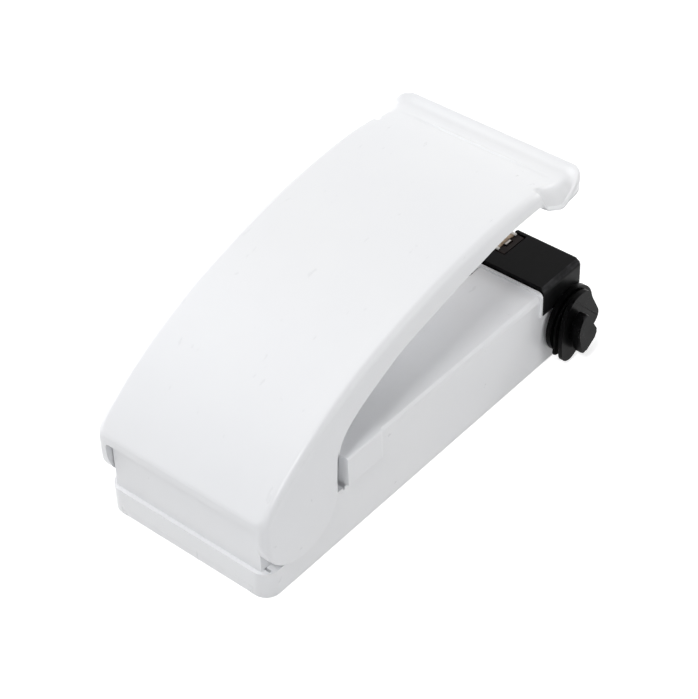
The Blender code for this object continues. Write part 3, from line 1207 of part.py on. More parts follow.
def add_lock(holder, black, steel):
    centre = (LOCK_X, LOCK_Z)
    disc_out = LOCK_DISC_Y - LOCK_DISC_THICKNESS
    add_piece("lock_disc", washer("Y", centre, SHAFT_HOLE_RADIUS, LOCK_DISC_RADIUS, disc_out, LOCK_DISC_Y,
                                  LOCK_DISC_SIDES), holder, black)
    stop_outline = tipped_round(LOCK_STOP_RADIUS, LOCK_STOP_TIP_REACH, LOCK_STOP_TIP_RADIUS, LOCK_STOP_LEAN)
    stop = prism(stop_outline, LOCK_STOP_Y - LOCK_STOP_THICKNESS, LOCK_STOP_Y, "Y")
    stop_plate = add_piece("lock_stop_plate", stop, holder, black)
    dial_outline = leaning_plate(LOCK_SQUARE, LOCK_SQUARE, LOCK_SQUARE_CORNER, LOCK_SQUARE_OFFSET)
    dial = add_piece("lock_dial", rounded_plate(dial_outline, LOCK_DIAL_Y,
                                                LOCK_DIAL_Y - LOCK_DIAL_THICKNESS), holder, black)
    for name, plate in (("stop_plate", stop_plate), ("dial", dial)):
        hole = cylinder("Y", centre, SHAFT_HOLE_RADIUS, LOCK_GRIP_Y, LOCK_DISC_Y)
        cut(plate, f"{name}_hole", hole, holder)
    grip_outline = leaning_plate(LOCK_GRIP_WIDTH, LOCK_GRIP_LENGTH, LOCK_GRIP_CORNER, LOCK_GRIP_OFFSET)
    grip = add_piece("lock_grip", rounded_plate(grip_outline, LOCK_GRIP_Y, LOCK_OUTER_Y), holder, black)
    cut(grip, "grip_socket", cylinder("Y", centre, SHAFT_HOLE_RADIUS, LOCK_OUTER_Y + LOCK_GRIP_SKIN,
                                      LOCK_GRIP_Y + CUT_OVERRUN), holder)
    add_piece("lock_shaft", cylinder("Y", centre, LOCK_SHAFT_RADIUS,
                                     LOCK_OUTER_Y + LOCK_GRIP_SKIN + SEAT_GAP, NOSE_INNER_Y - SEAT_GAP,
                                     LOCK_SHAFT_SIDES), holder, steel)
    add_piece("lock_clip", washer("Y", centre, SHAFT_HOLE_RADIUS, LOCK_CLIP_RADIUS, LOCK_CLIP_Y,
                                  LOCK_CLIP_Y + LOCK_CLIP_THICKNESS, LOCK_SHAFT_SIDES), holder, steel)
    half = LOCK_ARM_HALF_WIDTH
    arm = add_piece("lock_arm", cylinder("Y", centre, LOCK_ARM_HUB_RADIUS, -half, half, LOCK_SHAFT_SIDES),
                    holder, black)
    bar = box((LOCK_X - LOCK_ARM_LENGTH, -half, LOCK_Z - LOCK_ARM_HEIGHT / 2),
              (LOCK_X, half, LOCK_Z + LOCK_ARM_HEIGHT / 2))
    join(arm, "arm_bar", bar, holder)
    fork = box((LOCK_X - LOCK_ARM_LENGTH - CUT_OVERRUN, -LOCK_FORK_HALF_GAP, LOCK_Z - LOCK_ARM_HEIGHT),
               (LOCK_X - LOCK_ARM_LENGTH + LOCK_FORK_DEPTH, LOCK_FORK_HALF_GAP,
                LOCK_Z + LOCK_ARM_HEIGHT))
    cut(arm, "arm_fork", fork, holder)
    cut(arm, "arm_hole", cylinder("Y", centre, SHAFT_HOLE_RADIUS, -half - CUT_OVERRUN,
                                  half + CUT_OVERRUN), holder)


# Leads: along the side walls, past the screw posts, clear of the arm of the lock
def add_leads(holder, red, black, white):
    plate_x, plate_y = FRONT_PLATE_X + PLATE_THICKNESS / 2, CELL_Y + PLATE_SIZE / 2 + SEAT_GAP
    past_wall = DOOR_HALF_WIDTH - BODY_WALL + SEAT_GAP + LEAD_RADIUS
    beside_post = SCREW_Y - SCREW_POST_RADIUS - SEAT_GAP - LEAD_RADIUS
    leg_x = CONTACT_RIB_X + CONTACT_RIB_THICKNESS + SEAT_GAP + LEAD_RADIUS
    leg_y = CONTACT_SPACING + CONTACT_WIDTH / 2 + SEAT_GAP
    leg_z = CONTACT_Z - CONTACT_LEG / 2
    beside_rib = CONTACT_RIB_HALF_WIDTH + SEAT_GAP + 2 * LEAD_RADIUS
    wall_x = BAY_FRONT_X + BAY_WALL + SEAT_GAP + LEAD_RADIUS
    tail_y, tail_z = STRIP_HALF_LENGTH + SEAT_GAP, HEATER_FOOT - SEAT_GAP - LEAD_RADIUS
    high, low = CELL_Z + LEAD_LEVEL, CELL_Z - LEAD_LEVEL
    before_post, past_post = SCREW_REAR_X - SCREW_POST_RADIUS, SCREW_REAR_X + SCREW_POST_RADIUS
    last_post = SCREW_FRONT_X + SCREW_POST_RADIUS
    from_positive = ((plate_x, plate_y, CELL_Z), (plate_x, past_wall, CELL_Z),
                     (wall_x, past_wall, high), (before_post, beside_post, high),
                     (past_post, beside_post, high), (CONTACT_RIB_X, beside_post, high),
                     (leg_x + LEAD_RADIUS, beside_rib, leg_z), (leg_x, leg_y, leg_z))
    switched = ((leg_x, -leg_y, leg_z), (leg_x + LEAD_RADIUS, -beside_rib, leg_z),
                (SCREW_FRONT_X, -beside_post, leg_z), (last_post, -beside_post, tail_z),
                (HEATER_X, -tail_y - LEAD_LEVEL, tail_z), (HEATER_X, -tail_y, tail_z))
    to_negative = ((HEATER_X, tail_y, tail_z), (HEATER_X, tail_y + LEAD_LEVEL, tail_z),
                   (last_post, beside_post, tail_z), (SCREW_FRONT_X, beside_post, low),
                   (past_post, beside_post, low), (before_post, beside_post, low),
                   (wall_x, beside_post - LEAD_LEVEL, low), (wall_x, -beside_post, low),
                   (wall_x, -past_wall, low), (plate_x, -past_wall, CELL_Z),
                   (plate_x, -plate_y, CELL_Z))
    for name, stops, surface in (("lead_from_positive", from_positive, red),
                                 ("lead_switched", switched, white),
                                 ("lead_to_negative", to_negative, black)):
        tube(name, smooth_route(stops, LEAD_STEPS_PER_SPAN), LEAD_RADIUS, LEAD_BEVEL_STEPS, holder,
             surface)


def main():
    clear_scene()
    white = make_material("white_plastic", (0.80, 0.81, 0.83), 0.38)
    black = make_material("black_plastic", (0.012, 0.012, 0.014), 0.35)
    bakelite = make_material("heater_plastic", (0.045, 0.032, 0.028), 0.5)
    rubber = make_material("pad_rubber", (0.55, 0.20, 0.10), 0.7)
    cloth = make_material("heater_cloth", (0.42, 0.30, 0.17), 0.6)
    rail = make_material("rail_plastic", (0.75, 0.74, 0.70), 0.5)
    steel = make_material("bright_steel", (0.62, 0.62, 0.64), 0.3, 1.0)
    brass = make_material("contact_brass", (0.72, 0.55, 0.26), 0.3, 1.0)
    nichrome = make_material("heater_wire", (0.45, 0.43, 0.41), 0.35, 1.0)
    cell = make_material("cell_jacket", (0.10, 0.14, 0.20), 0.4)
    red = make_material("red_lead", (0.50, 0.03, 0.03), 0.5)

    foremost = max(LOCK_X + LOCK_DISC_RADIUS, BODY_LENGTH)
    middle_x = (min(LID_REAR_X, 0.0) + foremost) / 2
    middle_y = (LIP_HALF_WIDTH + LOCK_OUTER_Y) / 2
    base = make_holder("sealer_frame", (-middle_x, -middle_y, 0.0))
    pivot = (PIVOT_X, 0.0, PIVOT_Z)
    lid = make_holder("lid_axis", pivot, base)
    angle = closing_angle()
    print(f"lid: closes by {degrees(angle):.3f} degrees")
    closed = make_holder("lid_axis_when_closed", pivot, base, -angle)
    lock = make_holder("lock_axis", (LOCK_X, 0.0, LOCK_Z), base)
    door = make_holder("door_slide", (0.0, 0.0, 0.0), base)

    add_base_shell(base, white)
    add_floor(base, door, white, steel)
    add_cells(base, cell)
    add_contacts(base, steel, steel)
    add_hinge_pins(base, steel)
    add_return_spring(base, steel)
    add_saddle(base, black)
    add_heater(base, bakelite, nichrome, cloth, rail)
    add_lid(lid, closed, angle, white)
    add_pad(closed, black, rubber, steel)
    add_switch(base, closed, brass)
    add_lock(lock, black, steel)
    add_leads(base, red, black, white)


main()
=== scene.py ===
"""Looks of the mini bag sealer: camera, light, materials and the moulded skins of its pieces."""
from math import cos, hypot, pi, radians, sin, sqrt

import bmesh
import bpy
from mathutils import Matrix, Quaternion, Vector


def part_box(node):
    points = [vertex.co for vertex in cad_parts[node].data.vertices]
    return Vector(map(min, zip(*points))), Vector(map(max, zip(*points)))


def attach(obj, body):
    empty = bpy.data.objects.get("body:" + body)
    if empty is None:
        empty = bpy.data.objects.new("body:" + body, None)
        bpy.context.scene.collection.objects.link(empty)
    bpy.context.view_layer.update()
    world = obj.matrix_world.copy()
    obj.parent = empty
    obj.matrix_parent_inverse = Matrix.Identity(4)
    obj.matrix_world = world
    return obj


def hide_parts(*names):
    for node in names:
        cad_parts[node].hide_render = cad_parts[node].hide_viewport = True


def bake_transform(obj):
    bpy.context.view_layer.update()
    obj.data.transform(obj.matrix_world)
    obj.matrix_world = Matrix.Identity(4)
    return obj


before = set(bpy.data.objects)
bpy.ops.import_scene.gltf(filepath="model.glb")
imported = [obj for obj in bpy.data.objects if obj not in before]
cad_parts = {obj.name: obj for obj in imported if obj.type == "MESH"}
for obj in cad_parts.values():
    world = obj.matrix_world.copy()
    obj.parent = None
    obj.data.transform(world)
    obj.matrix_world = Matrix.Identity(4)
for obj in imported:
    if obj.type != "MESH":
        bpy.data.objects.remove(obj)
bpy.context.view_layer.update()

# Camera, fitted to the photograph
CAMERA_PLACE = Vector((-0.249168, -0.215951, 0.305518))
CAMERA_YAW = radians(41.3508)
CAMERA_PITCH = radians(41.0283)
CAMERA_ROLL = radians(-2.0508)
CAMERA_LENS = 112.12
CAMERA_SENSOR = 36.0
CAMERA_NEAR = 0.01
CAMERA_FAR = 20.0

# Light; each lamp has a name, a place, the width of its disk and its watts
SKY_LEVEL = 0.115
FLOOR_GLOW = 0.62
FLOOR_REACH = 0.8
FLOOR_DROP = 0.0001
LAMPS = (
    ("top_light", (-0.10, 0.25, 1.10), 0.9, 2.6),
    ("rear_light", (-0.64, -0.15, 0.90), 0.3, 4.6),
    ("front_light", (0.90, -0.15, 0.30), 0.5, 3.8),
    ("right_light", (0.25, -0.70, 0.32), 0.5, 1.35),
    ("left_light", (-0.10, 0.90, 0.50), 0.9, 6.3))


# A new object in the scene
def placed(name, data):
    made = bpy.data.objects.new(name, data)
    bpy.context.scene.collection.objects.link(made)
    return made


# Camera, floor and light
def add_camera():
    data = bpy.data.cameras.new("photo_camera")
    data.lens = CAMERA_LENS
    data.sensor_width = CAMERA_SENSOR
    data.clip_start = CAMERA_NEAR
    data.clip_end = CAMERA_FAR
    camera = placed("photo_camera", data)
    forward = Vector((cos(CAMERA_PITCH) * cos(CAMERA_YAW), cos(CAMERA_PITCH) * sin(CAMERA_YAW),
                      -sin(CAMERA_PITCH)))
    camera.location = CAMERA_PLACE
    camera.rotation_mode = "QUATERNION"
    turn = forward.to_track_quat("-Z", "Y")
    camera.rotation_quaternion = turn @ Quaternion((0.0, 0.0, 1.0), CAMERA_ROLL)
    bpy.context.scene.camera = camera


def add_lamp(name, place, size, watts):
    data = bpy.data.lights.new(name, "AREA")
    data.shape = "DISK"
    data.size = size
    data.energy = watts
    lamp = placed(name, data)
    lamp.location = place
    lamp.rotation_mode = "QUATERNION"
    lamp.rotation_quaternion = (-Vector(place)).to_track_quat("-Z", "Y")


# 1 for rays that look at a surface or the sky, 0 for those that only carry its light
def seen_directly(tree):
    path = tree.nodes.new("ShaderNodeLightPath")
    glossy = tree.nodes.new("ShaderNodeMath")
    glossy.operation = "MAXIMUM"
    tree.links.new(path.outputs["Is Camera Ray"], glossy.inputs[0])
    tree.links.new(path.outputs["Is Glossy Ray"], glossy.inputs[1])
    through = tree.nodes.new("ShaderNodeMath")
    through.operation = "MAXIMUM"
    tree.links.new(glossy.outputs[0], through.inputs[0])
    tree.links.new(path.outputs["Is Transmission Ray"], through.inputs[1])
    return through.outputs[0]


def add_sky():
    world = bpy.data.worlds.new("studio")
    bpy.context.scene.world = world
    world.use_nodes = True
    tree = world.node_tree
    tree.nodes.clear()
    light = tree.nodes.new("ShaderNodeBackground")
    light.inputs["Color"].default_value = (0.97, 0.98, 1.0, 1.0)
    light.inputs["Strength"].default_value = SKY_LEVEL
    seen = tree.nodes.new("ShaderNodeBackground")
    seen.inputs["Color"].default_value = (1.0, 1.0, 1.0, 1.0)
    seen.inputs["Strength"].default_value = 1.0
    mix = tree.nodes.new("ShaderNodeMixShader")
    out = tree.nodes.new("ShaderNodeOutputWorld")
    tree.links.new(seen_directly(tree), mix.inputs[0])
    tree.links.new(light.outputs[0], mix.inputs[1])
    tree.links.new(seen.outputs[0], mix.inputs[2])
    tree.links.new(mix.outputs[0], out.inputs["Surface"])


def add_floor():
    bm = bmesh.new()
    bmesh.ops.create_grid(bm, x_segments=1, y_segments=1, size=FLOOR_REACH)
    mesh = bpy.data.meshes.new("studio_floor")
    bm.to_mesh(mesh)
    bm.free()
    floor = placed("studio_floor", mesh)
    floor.location.z = -FLOOR_DROP
    surface = bpy.data.materials.new("studio_floor")
    surface.use_nodes = True
    tree = surface.node_tree
    tree.nodes.clear()
    matt = tree.nodes.new("ShaderNodeBsdfDiffuse")
    matt.inputs["Color"].default_value = (0.80, 0.80, 0.80, 1.0)
    glow = tree.nodes.new("ShaderNodeEmission")
    glow.inputs["Color"].default_value = (1.0, 1.0, 1.0, 1.0)
    glow.inputs["Strength"].default_value = FLOOR_GLOW
    both = tree.nodes.new("ShaderNodeAddShader")
    mix = tree.nodes.new("ShaderNodeMixShader")
    out = tree.nodes.new("ShaderNodeOutputMaterial")
    tree.links.new(matt.outputs[0], both.inputs[0])
    tree.links.new(glow.outputs[0], both.inputs[1])
    tree.links.new(seen_directly(tree), mix.inputs[0])
    tree.links.new(matt.outputs[0], mix.inputs[1])
    tree.links.new(both.outputs[0], mix.inputs[2])
    tree.links.new(mix.outputs[0], out.inputs["Surface"])
    mesh.materials.append(surface)


# Materials
NOISE_LOW, NOISE_HIGH = 0.3, 0.7
WEAVE_SCALE = 260.0
CELL_BAND_SHARE = 0.72
CELL_BAND_BLUR = 0.0001


class Surface:
    def __init__(self, name):
        self.material = bpy.data.materials.new(name)
        self.material.use_nodes = True
        self.tree = self.material.node_tree
        self.shader = self.tree.nodes["Principled BSDF"]
        spots = self.tree.nodes.new("ShaderNodeTexCoord")
        self.place = spots.outputs["Object"]
        self.facing = spots.outputs["Normal"]

    def link(self, source, target):
        self.tree.links.new(source, target)

    def stretched(self, scale):
        node = self.tree.nodes.new("ShaderNodeMapping")
        node.inputs["Scale"].default_value = scale
        self.link(self.place, node.inputs["Vector"])
        return node.outputs[0]

    def noise(self, scale, detail=2.0, roughness=0.5, vector=None):
        node = self.tree.nodes.new("ShaderNodeTexNoise")
        node.inputs["Scale"].default_value = scale
        node.inputs["Detail"].default_value = detail
        node.inputs["Roughness"].default_value = roughness
        self.link(vector or self.place, node.inputs["Vector"])
        return node.outputs["Fac"]

    def voronoi(self, scale):
        node = self.tree.nodes.new("ShaderNodeTexVoronoi")
        node.inputs["Scale"].default_value = scale
        self.link(self.place, node.inputs["Vector"])
        return node.outputs["Distance"]

    def wave(self, scale, direction):
        node = self.tree.nodes.new("ShaderNodeTexWave")
        node.bands_direction = direction
        node.inputs["Scale"].default_value = scale
        self.link(self.place, node.inputs["Vector"])
        return node.outputs["Fac"]

    def spread(self, source, low_in, high_in, low, high):
        node = self.tree.nodes.new("ShaderNodeMapRange")
        node.inputs["From Min"].default_value = low_in
        node.inputs["From Max"].default_value = high_in
        node.inputs["To Min"].default_value = low
        node.inputs["To Max"].default_value = high
        self.link(source, node.inputs["Value"])
        return node.outputs[0]

    def math(self, operation, first, second):
        node = self.tree.nodes.new("ShaderNodeMath")
        node.operation = operation
        for socket, value in zip(node.inputs, (first, second)):
            if isinstance(value, float):
                socket.default_value = value
            else:
                self.link(value, socket)
        return node.outputs[0]

    def mix(self, share, first, second):
        node = self.tree.nodes.new("ShaderNodeMix")
        node.data_type = "RGBA"
        self.link(share, node.inputs["Factor"])
        for socket, value in ((node.inputs[6], first), (node.inputs[7], second)):
            if isinstance(value, tuple):
                socket.default_value = (*value, 1.0)
            else:
                self.link(value, socket)
        return node.outputs[2]

    # A value that goes from low to high over the usual range of a noise
    def over(self, noise, low, high):
        return self.spread(noise, NOISE_LOW, NOISE_HIGH, low, high)

    # Two colours that a noise blends
    def clouded(self, noise, first, second):
        return self.mix(self.over(noise, 0.0, 1.0), first, second)

    def bump(self, height, strength, distance, normal=None):
        node = self.tree.nodes.new("ShaderNodeBump")
        node.inputs["Strength"].default_value = strength
        node.inputs["Distance"].default_value = distance
        self.link(height, node.inputs["Height"])
        if normal is not None:
            self.link(normal, node.inputs["Normal"])
        return node.outputs[0]

    # 1 where a face turns from the sides of the object to its top or ends, 0 on the flat faces
    def edge(self):
        split = self.tree.nodes.new("ShaderNodeSeparateXYZ")
        self.link(self.facing, split.inputs[0])
        side = self.math("MULTIPLY", split.outputs["Y"], split.outputs["Y"])
        rest = self.math("SUBTRACT", 1.0, side)
        return self.math("MULTIPLY", self.math("MULTIPLY", side, rest), 4.0)

    def colour(self, source):
        self.link(source, self.shader.inputs["Base Color"])

    def roughness(self, source):
        self.link(source, self.shader.inputs["Roughness"])

    def normal(self, source):
        self.link(source, self.shader.inputs["Normal"])

    def set(self, **values):
        for name, value in values.items():
            self.shader.inputs[name.replace("_", " ")].default_value = value


def white_plastic():
    made = Surface("white_plastic")
    cloud = made.noise(35.0, 3.0)
    warm = made.noise(9.0, 1.0)
    share = made.spread(warm, 0.35, 0.65, 0.0, 1.0)
    tint = made.mix(share, (0.855, 0.865, 0.885), (0.87, 0.872, 0.875))
    made.colour(made.mix(made.over(cloud, 0.0, 0.6), tint, (0.83, 0.838, 0.86)))
    smear = made.noise(160.0, 4.0, 0.6, made.stretched((1.0, 3.0, 1.0)))
    made.roughness(made.over(smear, 0.27, 0.40))
    grain = made.bump(made.noise(2600.0, 2.0), 0.06, 0.00004)
    made.normal(made.bump(made.noise(70.0, 1.0), 0.10, 0.0006, grain))
    made.set(IOR=1.5)
    return made.material


# Black plastic with dust specks, and a painted highlight along the edges that turn from its sides
# to its top or ends
def black_plastic(name, dark, light, highlight_colour, gloss, polish):
    made = Surface(name)
    speck = made.spread(made.voronoi(900.0), 0.04, 0.10, 1.0, 0.0)
    patch = made.spread(made.noise(120.0, 3.0), 0.52, 0.62, 0.0, 0.5)
    cloud = made.clouded(made.noise(60.0, 3.0), dark, light)
    dusty = made.mix(made.math("MULTIPLY", speck, patch), cloud, (0.022, 0.022, 0.022))
    # Painted highlight: edges that turn from the sides to the top or ends are lightened towards
    # the highlight colour, broken up by noise
    painted_edge_highlight = made.math("MULTIPLY", made.spread(made.edge(), 0.45, 0.95, 0.0, 1.0),
                     made.spread(made.noise(420.0, 3.0), 0.38, 0.60, 0.25, 1.0))
    made.colour(made.mix(painted_edge_highlight, dusty, highlight_colour))
    smear = made.noise(240.0, 4.0, 0.6, made.stretched((1.0, 4.0, 1.0)))
    made.roughness(made.over(smear, polish, polish + 0.16))
    grain = made.bump(made.noise(3200.0, 2.0), 0.25, 0.00005)
    made.normal(made.bump(made.noise(110.0, 1.0), 0.12, 0.0005, grain))
    made.set(Specular_IOR_Level=gloss)
    return made.material


def heater_plastic():
    made = Surface("heater_plastic")
    fibre = made.noise(900.0, 4.0, 0.7, made.stretched((1.0, 0.2, 1.0)))
    made.colour(made.clouded(fibre, (0.006, 0.004, 0.0035), (0.014, 0.008, 0.007)))
    made.roughness(made.over(made.noise(500.0, 3.0), 0.42, 0.60))
    made.normal(made.bump(fibre, 0.3, 0.00005))
    made.set(Specular_IOR_Level=0.12)
    return made.material


def rubber(name, dark, light):
    made = Surface(name)
    cloud = made.noise(400.0, 4.0, 0.6)
    made.colour(made.clouded(cloud, dark, light))
    made.roughness(made.over(cloud, 0.58, 0.78))
    made.normal(made.bump(made.noise(2500.0, 3.0), 0.35, 0.00006))
    return made.material


def glass_cloth():
    made = Surface("glass_cloth")
    warp = made.wave(WEAVE_SCALE, "X")
    weft = made.wave(WEAVE_SCALE, "Y")
    weave = made.math("MULTIPLY", warp, weft)
    stain = made.spread(made.noise(420.0, 3.0), 0.50, 0.68, 0.0, 0.75)
    clean = made.mix(weave, (0.33, 0.24, 0.15), (0.60, 0.49, 0.34))
    made.colour(made.mix(stain, clean, (0.16, 0.085, 0.045)))
    made.roughness(made.spread(weave, 0.0, 1.0, 0.35, 0.6))
    made.normal(made.bump(weave, 0.4, 0.00004))
    made.set(Coat_Weight=0.3, Coat_Roughness=0.3)
    return made.material


def metal(name, dark, light, low, high):
    made = Surface(name)
    brushed = made.noise(900.0, 3.0, 0.6, made.stretched((1.0, 12.0, 12.0)))
    stain = made.noise(150.0, 3.0)
    made.colour(made.clouded(stain, dark, light))
    made.roughness(made.over(brushed, low, high))
    made.normal(made.bump(brushed, 0.15, 0.00002))
    made.set(Metallic=1.0)
    return made.material


# Dark film with a copper-coloured band towards the front end
def cell_film():
    made = Surface("cell_film")
    split = made.tree.nodes.new("ShaderNodeSeparateXYZ")
    made.link(made.place, split.inputs[0])
    lo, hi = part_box("cell_right")
    edge = lo.x + (hi.x - lo.x) * CELL_BAND_SHARE
    band = made.spread(split.outputs["X"], edge - CELL_BAND_BLUR, edge + CELL_BAND_BLUR, 0.0, 1.0)
    cloud = made.noise(90.0, 2.0)
    dark = made.clouded(cloud, (0.055, 0.075, 0.105), (0.070, 0.095, 0.130))
    made.colour(made.mix(band, dark, (0.46, 0.30, 0.10)))
    made.roughness(made.over(made.noise(300.0, 4.0), 0.22, 0.36))
    made.normal(made.bump(made.noise(60.0, 2.0), 0.08, 0.0004))
    made.set(Metallic=0.35)
    return made.material


def lead_sleeve(name, dark, light):
    made = Surface(name)
    cloud = made.noise(300.0, 2.0)
    made.colour(made.clouded(cloud, dark, light))
    made.roughness(made.over(cloud, 0.38, 0.52))
    made.normal(made.bump(made.noise(1200.0, 2.0), 0.15, 0.00004))
    return made.material


# Look of a CAD node that is kept as it is
def give(look, node):
    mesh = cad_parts[node].data
    mesh.materials.clear()
    mesh.materials.append(LOOKS[look])


# Sizes in metres, with X = 0 at the rear of the base; those of CAD solids repeat the source's
MOVE = Vector((-0.05095, 0.0021, 0.0))
SIDES = (-1, 1)
PIVOT_X = 0.0100
PIVOT_Z = 0.0160
EAR_RADIUS = 0.0105
PIN_HOLE_RADIUS = 0.0018
PIN_SKIN = 0.0005
CLOSING_ANGLE = radians(12.999)
LID_REAR_X = -0.0005
LID_FRONT_X = 0.0972
LID_SIDE_X = 0.0209
LID_REAR_Z = 0.0204
LID_RISE = 0.0271
LID_PLATE = 0.0016
LID_OUTER_Y = 0.02175
LID_INNER_Y = 0.01925
LID_TOP_SHARES = (
    (0.000, 0.000), (0.041, 0.144), (0.087, 0.277), (0.138, 0.399), (0.210, 0.539),
    (0.312, 0.694), (0.456, 0.845), (0.605, 0.948), (0.763, 1.000), (0.865, 0.985),
    (0.916, 0.948), (0.952, 0.926), (1.000, 0.915))
LID_FOOT_SHARES = (
    (0.000, 0.070), (0.022, 0.199), (0.081, 0.325), (0.178, 0.447), (0.307, 0.575),
    (0.466, 0.670), (0.595, 0.741), (0.707, 0.792), (0.803, 0.833), (0.899, 0.853), (1.000, 0.857))
LID_FOOT_STEP = 0.0004
LID_EDGE_ROUNDING = 0.0016
LID_INNER_ROUNDING = 0.0008
LID_REAR_CORNER = 0.0016
LID_REAR_ROUNDING = 0.0005
LID_FOOT_ROUNDING = 0.0004
LIP_LENGTH = 0.0138
LIP_REAR_X = LID_FRONT_X - LIP_LENGTH
LIP_BLEND_LENGTH = 0.0022
LIP_FLARE = 0.00195
LIP_FLARE_LENGTH = 0.0053
LIP_HALF_WIDTH = LID_OUTER_Y + LIP_FLARE
LIP_CORNER = 0.0045
LIP_FOOT_Z = 0.0421
LIP_ROLL = 0.0007
LIP_TUCK = 0.0004
LIP_FRONT_WALL = 0.0016
LIP_RIM_HEIGHT = 0.0010
LIP_RIM_REAR_DROP = 0.0040
LIP_CLIMB_REAR_X = LID_FRONT_X - 0.0090
LIP_CLIMB_FRONT_X = LID_FRONT_X - 0.0015
LEAST_ROLL = 0.00001
LIP_LINE_X = 0.0904
LIP_LINE_HEIGHT = 0.00024
LIP_LINE_WIDTH = 0.00048
LIP_LINE_HALF_LENGTH = 0.0180
LIP_LINE_FADE = 0.0030
WALL_STEPS = 5
SLOPE_STEP = 0.0004
EAR_STATIONS = 48
SIDE_STATIONS = 60
SIDE_STATION_POWER = 1.5
LIP_STATIONS = 48
ARC_STEPS = 9
EDGE_COLUMNS = 12
EDGE_COLUMN_STEP = 0.00035
FLAT_COLUMNS = 6

SPRING_X = 0.0380
SPRING_PEG_RADIUS = 0.0026
SPRING_PEG_LENGTH = 0.0065
POST_X = 0.0830
POST_HALF_LENGTH = 0.0014
POST_HALF_WIDTH = 0.0019
POST_BAR_HALF_WIDTH = 0.0038
POST_TIP = 0.0120
POST_BAR_TOP = 0.0134
POST_TOP = 0.0303
BOSS_X = 0.0944
BOSS_Y = 0.0097
BOSS_RADIUS = 0.0015
BOSS_FOOT = 0.02416
BOSS_TOP = 0.02616
BOSS_HOLE_RADIUS = 0.0009
BOSS_HOLE_TOP = 0.02546
CUT_OVERRUN = 0.002
SMOOTH_ANGLE = radians(32)
SHARP_ANGLE = radians(25)
BROAD_ROUNDING = 0.0004
WELD = 1e-6
FLAT_ANGLE = radians(0.3)
ROUND_SIDES = 64
WIRE_SIDES = 12
ROUNDED_STEPS = 6

# Widths of the rounded edges
SHEET_EDGE = 0.00005
CLIP_EDGE = 0.00008
SMALL_EDGE = 0.00010
THIN_EDGE = 0.00012
MOULDED_EDGE = 0.00015
SHELL_EDGE = 0.00018
SOFT_EDGE = 0.00020
SADDLE_EDGE = 0.00025

# Base: limits of its rounded edges, rim behind the saddle, and slots as X, |Y| and Z ranges
BASE_LEAST_EDGE = 0.00030
BASE_SEAT_X = 0.0862
BASE_SEAT_Z = 0.0136
BASE_SIDE_Y = 0.0188
BASE_REAR_X = 0.0010
BASE_TOP_Z = 0.0190
TOP_SIDE_LENGTH = 0.0080
TOP_SIDE_Z = 0.0193
TOP_SIDE_NEAR_Y = 0.0208
TOP_SIDE_FAR_Y = 0.0213
RIM_REAR_X = 0.08560
RIM_FRONT_X = 0.08605
RIM_CORNERS = (
    (-0.02145, 0.0138, 0.0002), (-0.02145, 0.02005, 0.0014), (0.02145, 0.02005, 0.0014),
    (0.02145, 0.0138, 0.0002), (0.0204, 0.0138, 0.0002), (0.0204, 0.0188, 0.0010),
    (-0.0204, 0.0188, 0.0010), (-0.0204, 0.0138, 0.0002))
BASE_SLOTS = (
    (0.00185, 0.00245, 0.0187, 0.0202, 0.0052, 0.0066),
    (0.02250, 0.02310, 0.0178, 0.0220, 0.0125, 0.01315),
    (0.03390, 0.03415, 0.0207, 0.0220, 0.0132, 0.0190))

# Spring, coils, cloth, saddle and door
BODY_HEIGHT = 0.01945
SEAT_GAP = 0.0003
SPRING_RADIUS = 0.0042
SPRING_WIRE = 0.0004
SPRING_TURNS = 7
TURN_POINTS = 24
CELL_Y = 0.0076
CELL_Z = 0.00915
COIL_WIRE = 0.00035
COIL_WIDE = 0.0036
COIL_NARROW = 0.0022
COIL_TURNS = 3
BRIDGE_COIL_X = (0.00385, 0.00775)
NEGATIVE_COIL_X = (0.05855, 0.05465)
CLOTH_SHARE = 0.84
SADDLE_TOP_FROM = 0.0203
SADDLE_THICKER = 0.00045
DOOR_FLANGE_X = 0.0013
DOOR_TONGUE_TOP = 0.0012
DOOR_TONGUE_FOOT = 0.0005
DOOR_FLANGE = 0.00024

# Screws
SCREW_REAR_X = 0.0665
SCREW_FRONT_X = 0.0875
SCREW_Y = 0.0155
CROSS_HALF_WIDTH = 0.00024
CROSS_OVERRUN = 0.001
CROSS_DEPTH = 0.0007
SCREW_CROSS = 0.0012
HOLDER_CROSS = 0.0008

# Lock: corners as X, Z and rounding, layers as outer Y, inner Y and rounding
LOCK_CENTRE = (0.0946, 0.0086)
LOCK_DISC_RADIUS = 0.0076
LOCK_STOP_RADIUS = 0.0068
LOCK_STOP_START = radians(-115)
LOCK_STOP_END = radians(180)
LOCK_STOP_TIP = (
    (0.08790, 0.00620, 0.0006), (0.08760, 0.00330, 0.0006), (0.09060, 0.00230, 0.0006))
LOCK_DIAL_CORNERS = (
    (0.0971, 0.0160, 0.0012), (0.1015, 0.0074, 0.0012), (0.1006, 0.0054, 0.0012),
    (0.0912, 0.0004, 0.0016), (0.0884, 0.0020, 0.0014), (0.0879, 0.0090, 0.0030),
    (0.0898, 0.0150, 0.0026), (0.0936, 0.0166, 0.0016))
LOCK_GRIP_CORNERS = (
    (0.0930, 0.0137, 0.0016), (0.0977, 0.0056, 0.0014), (0.0922, 0.0022, 0.0016),
    (0.0903, 0.0100, 0.0022))
LOCK_DISC_LAYER = (-0.0229, -0.0218, 0.00030)
LOCK_STOP_LAYER = (-0.0237, -0.0232, 0.00012)
LOCK_DIAL_LAYER = (-0.0253, -0.0243, 0.00028)
LOCK_GRIP_LAYER = (-0.0279, -0.0257, 0.00040)


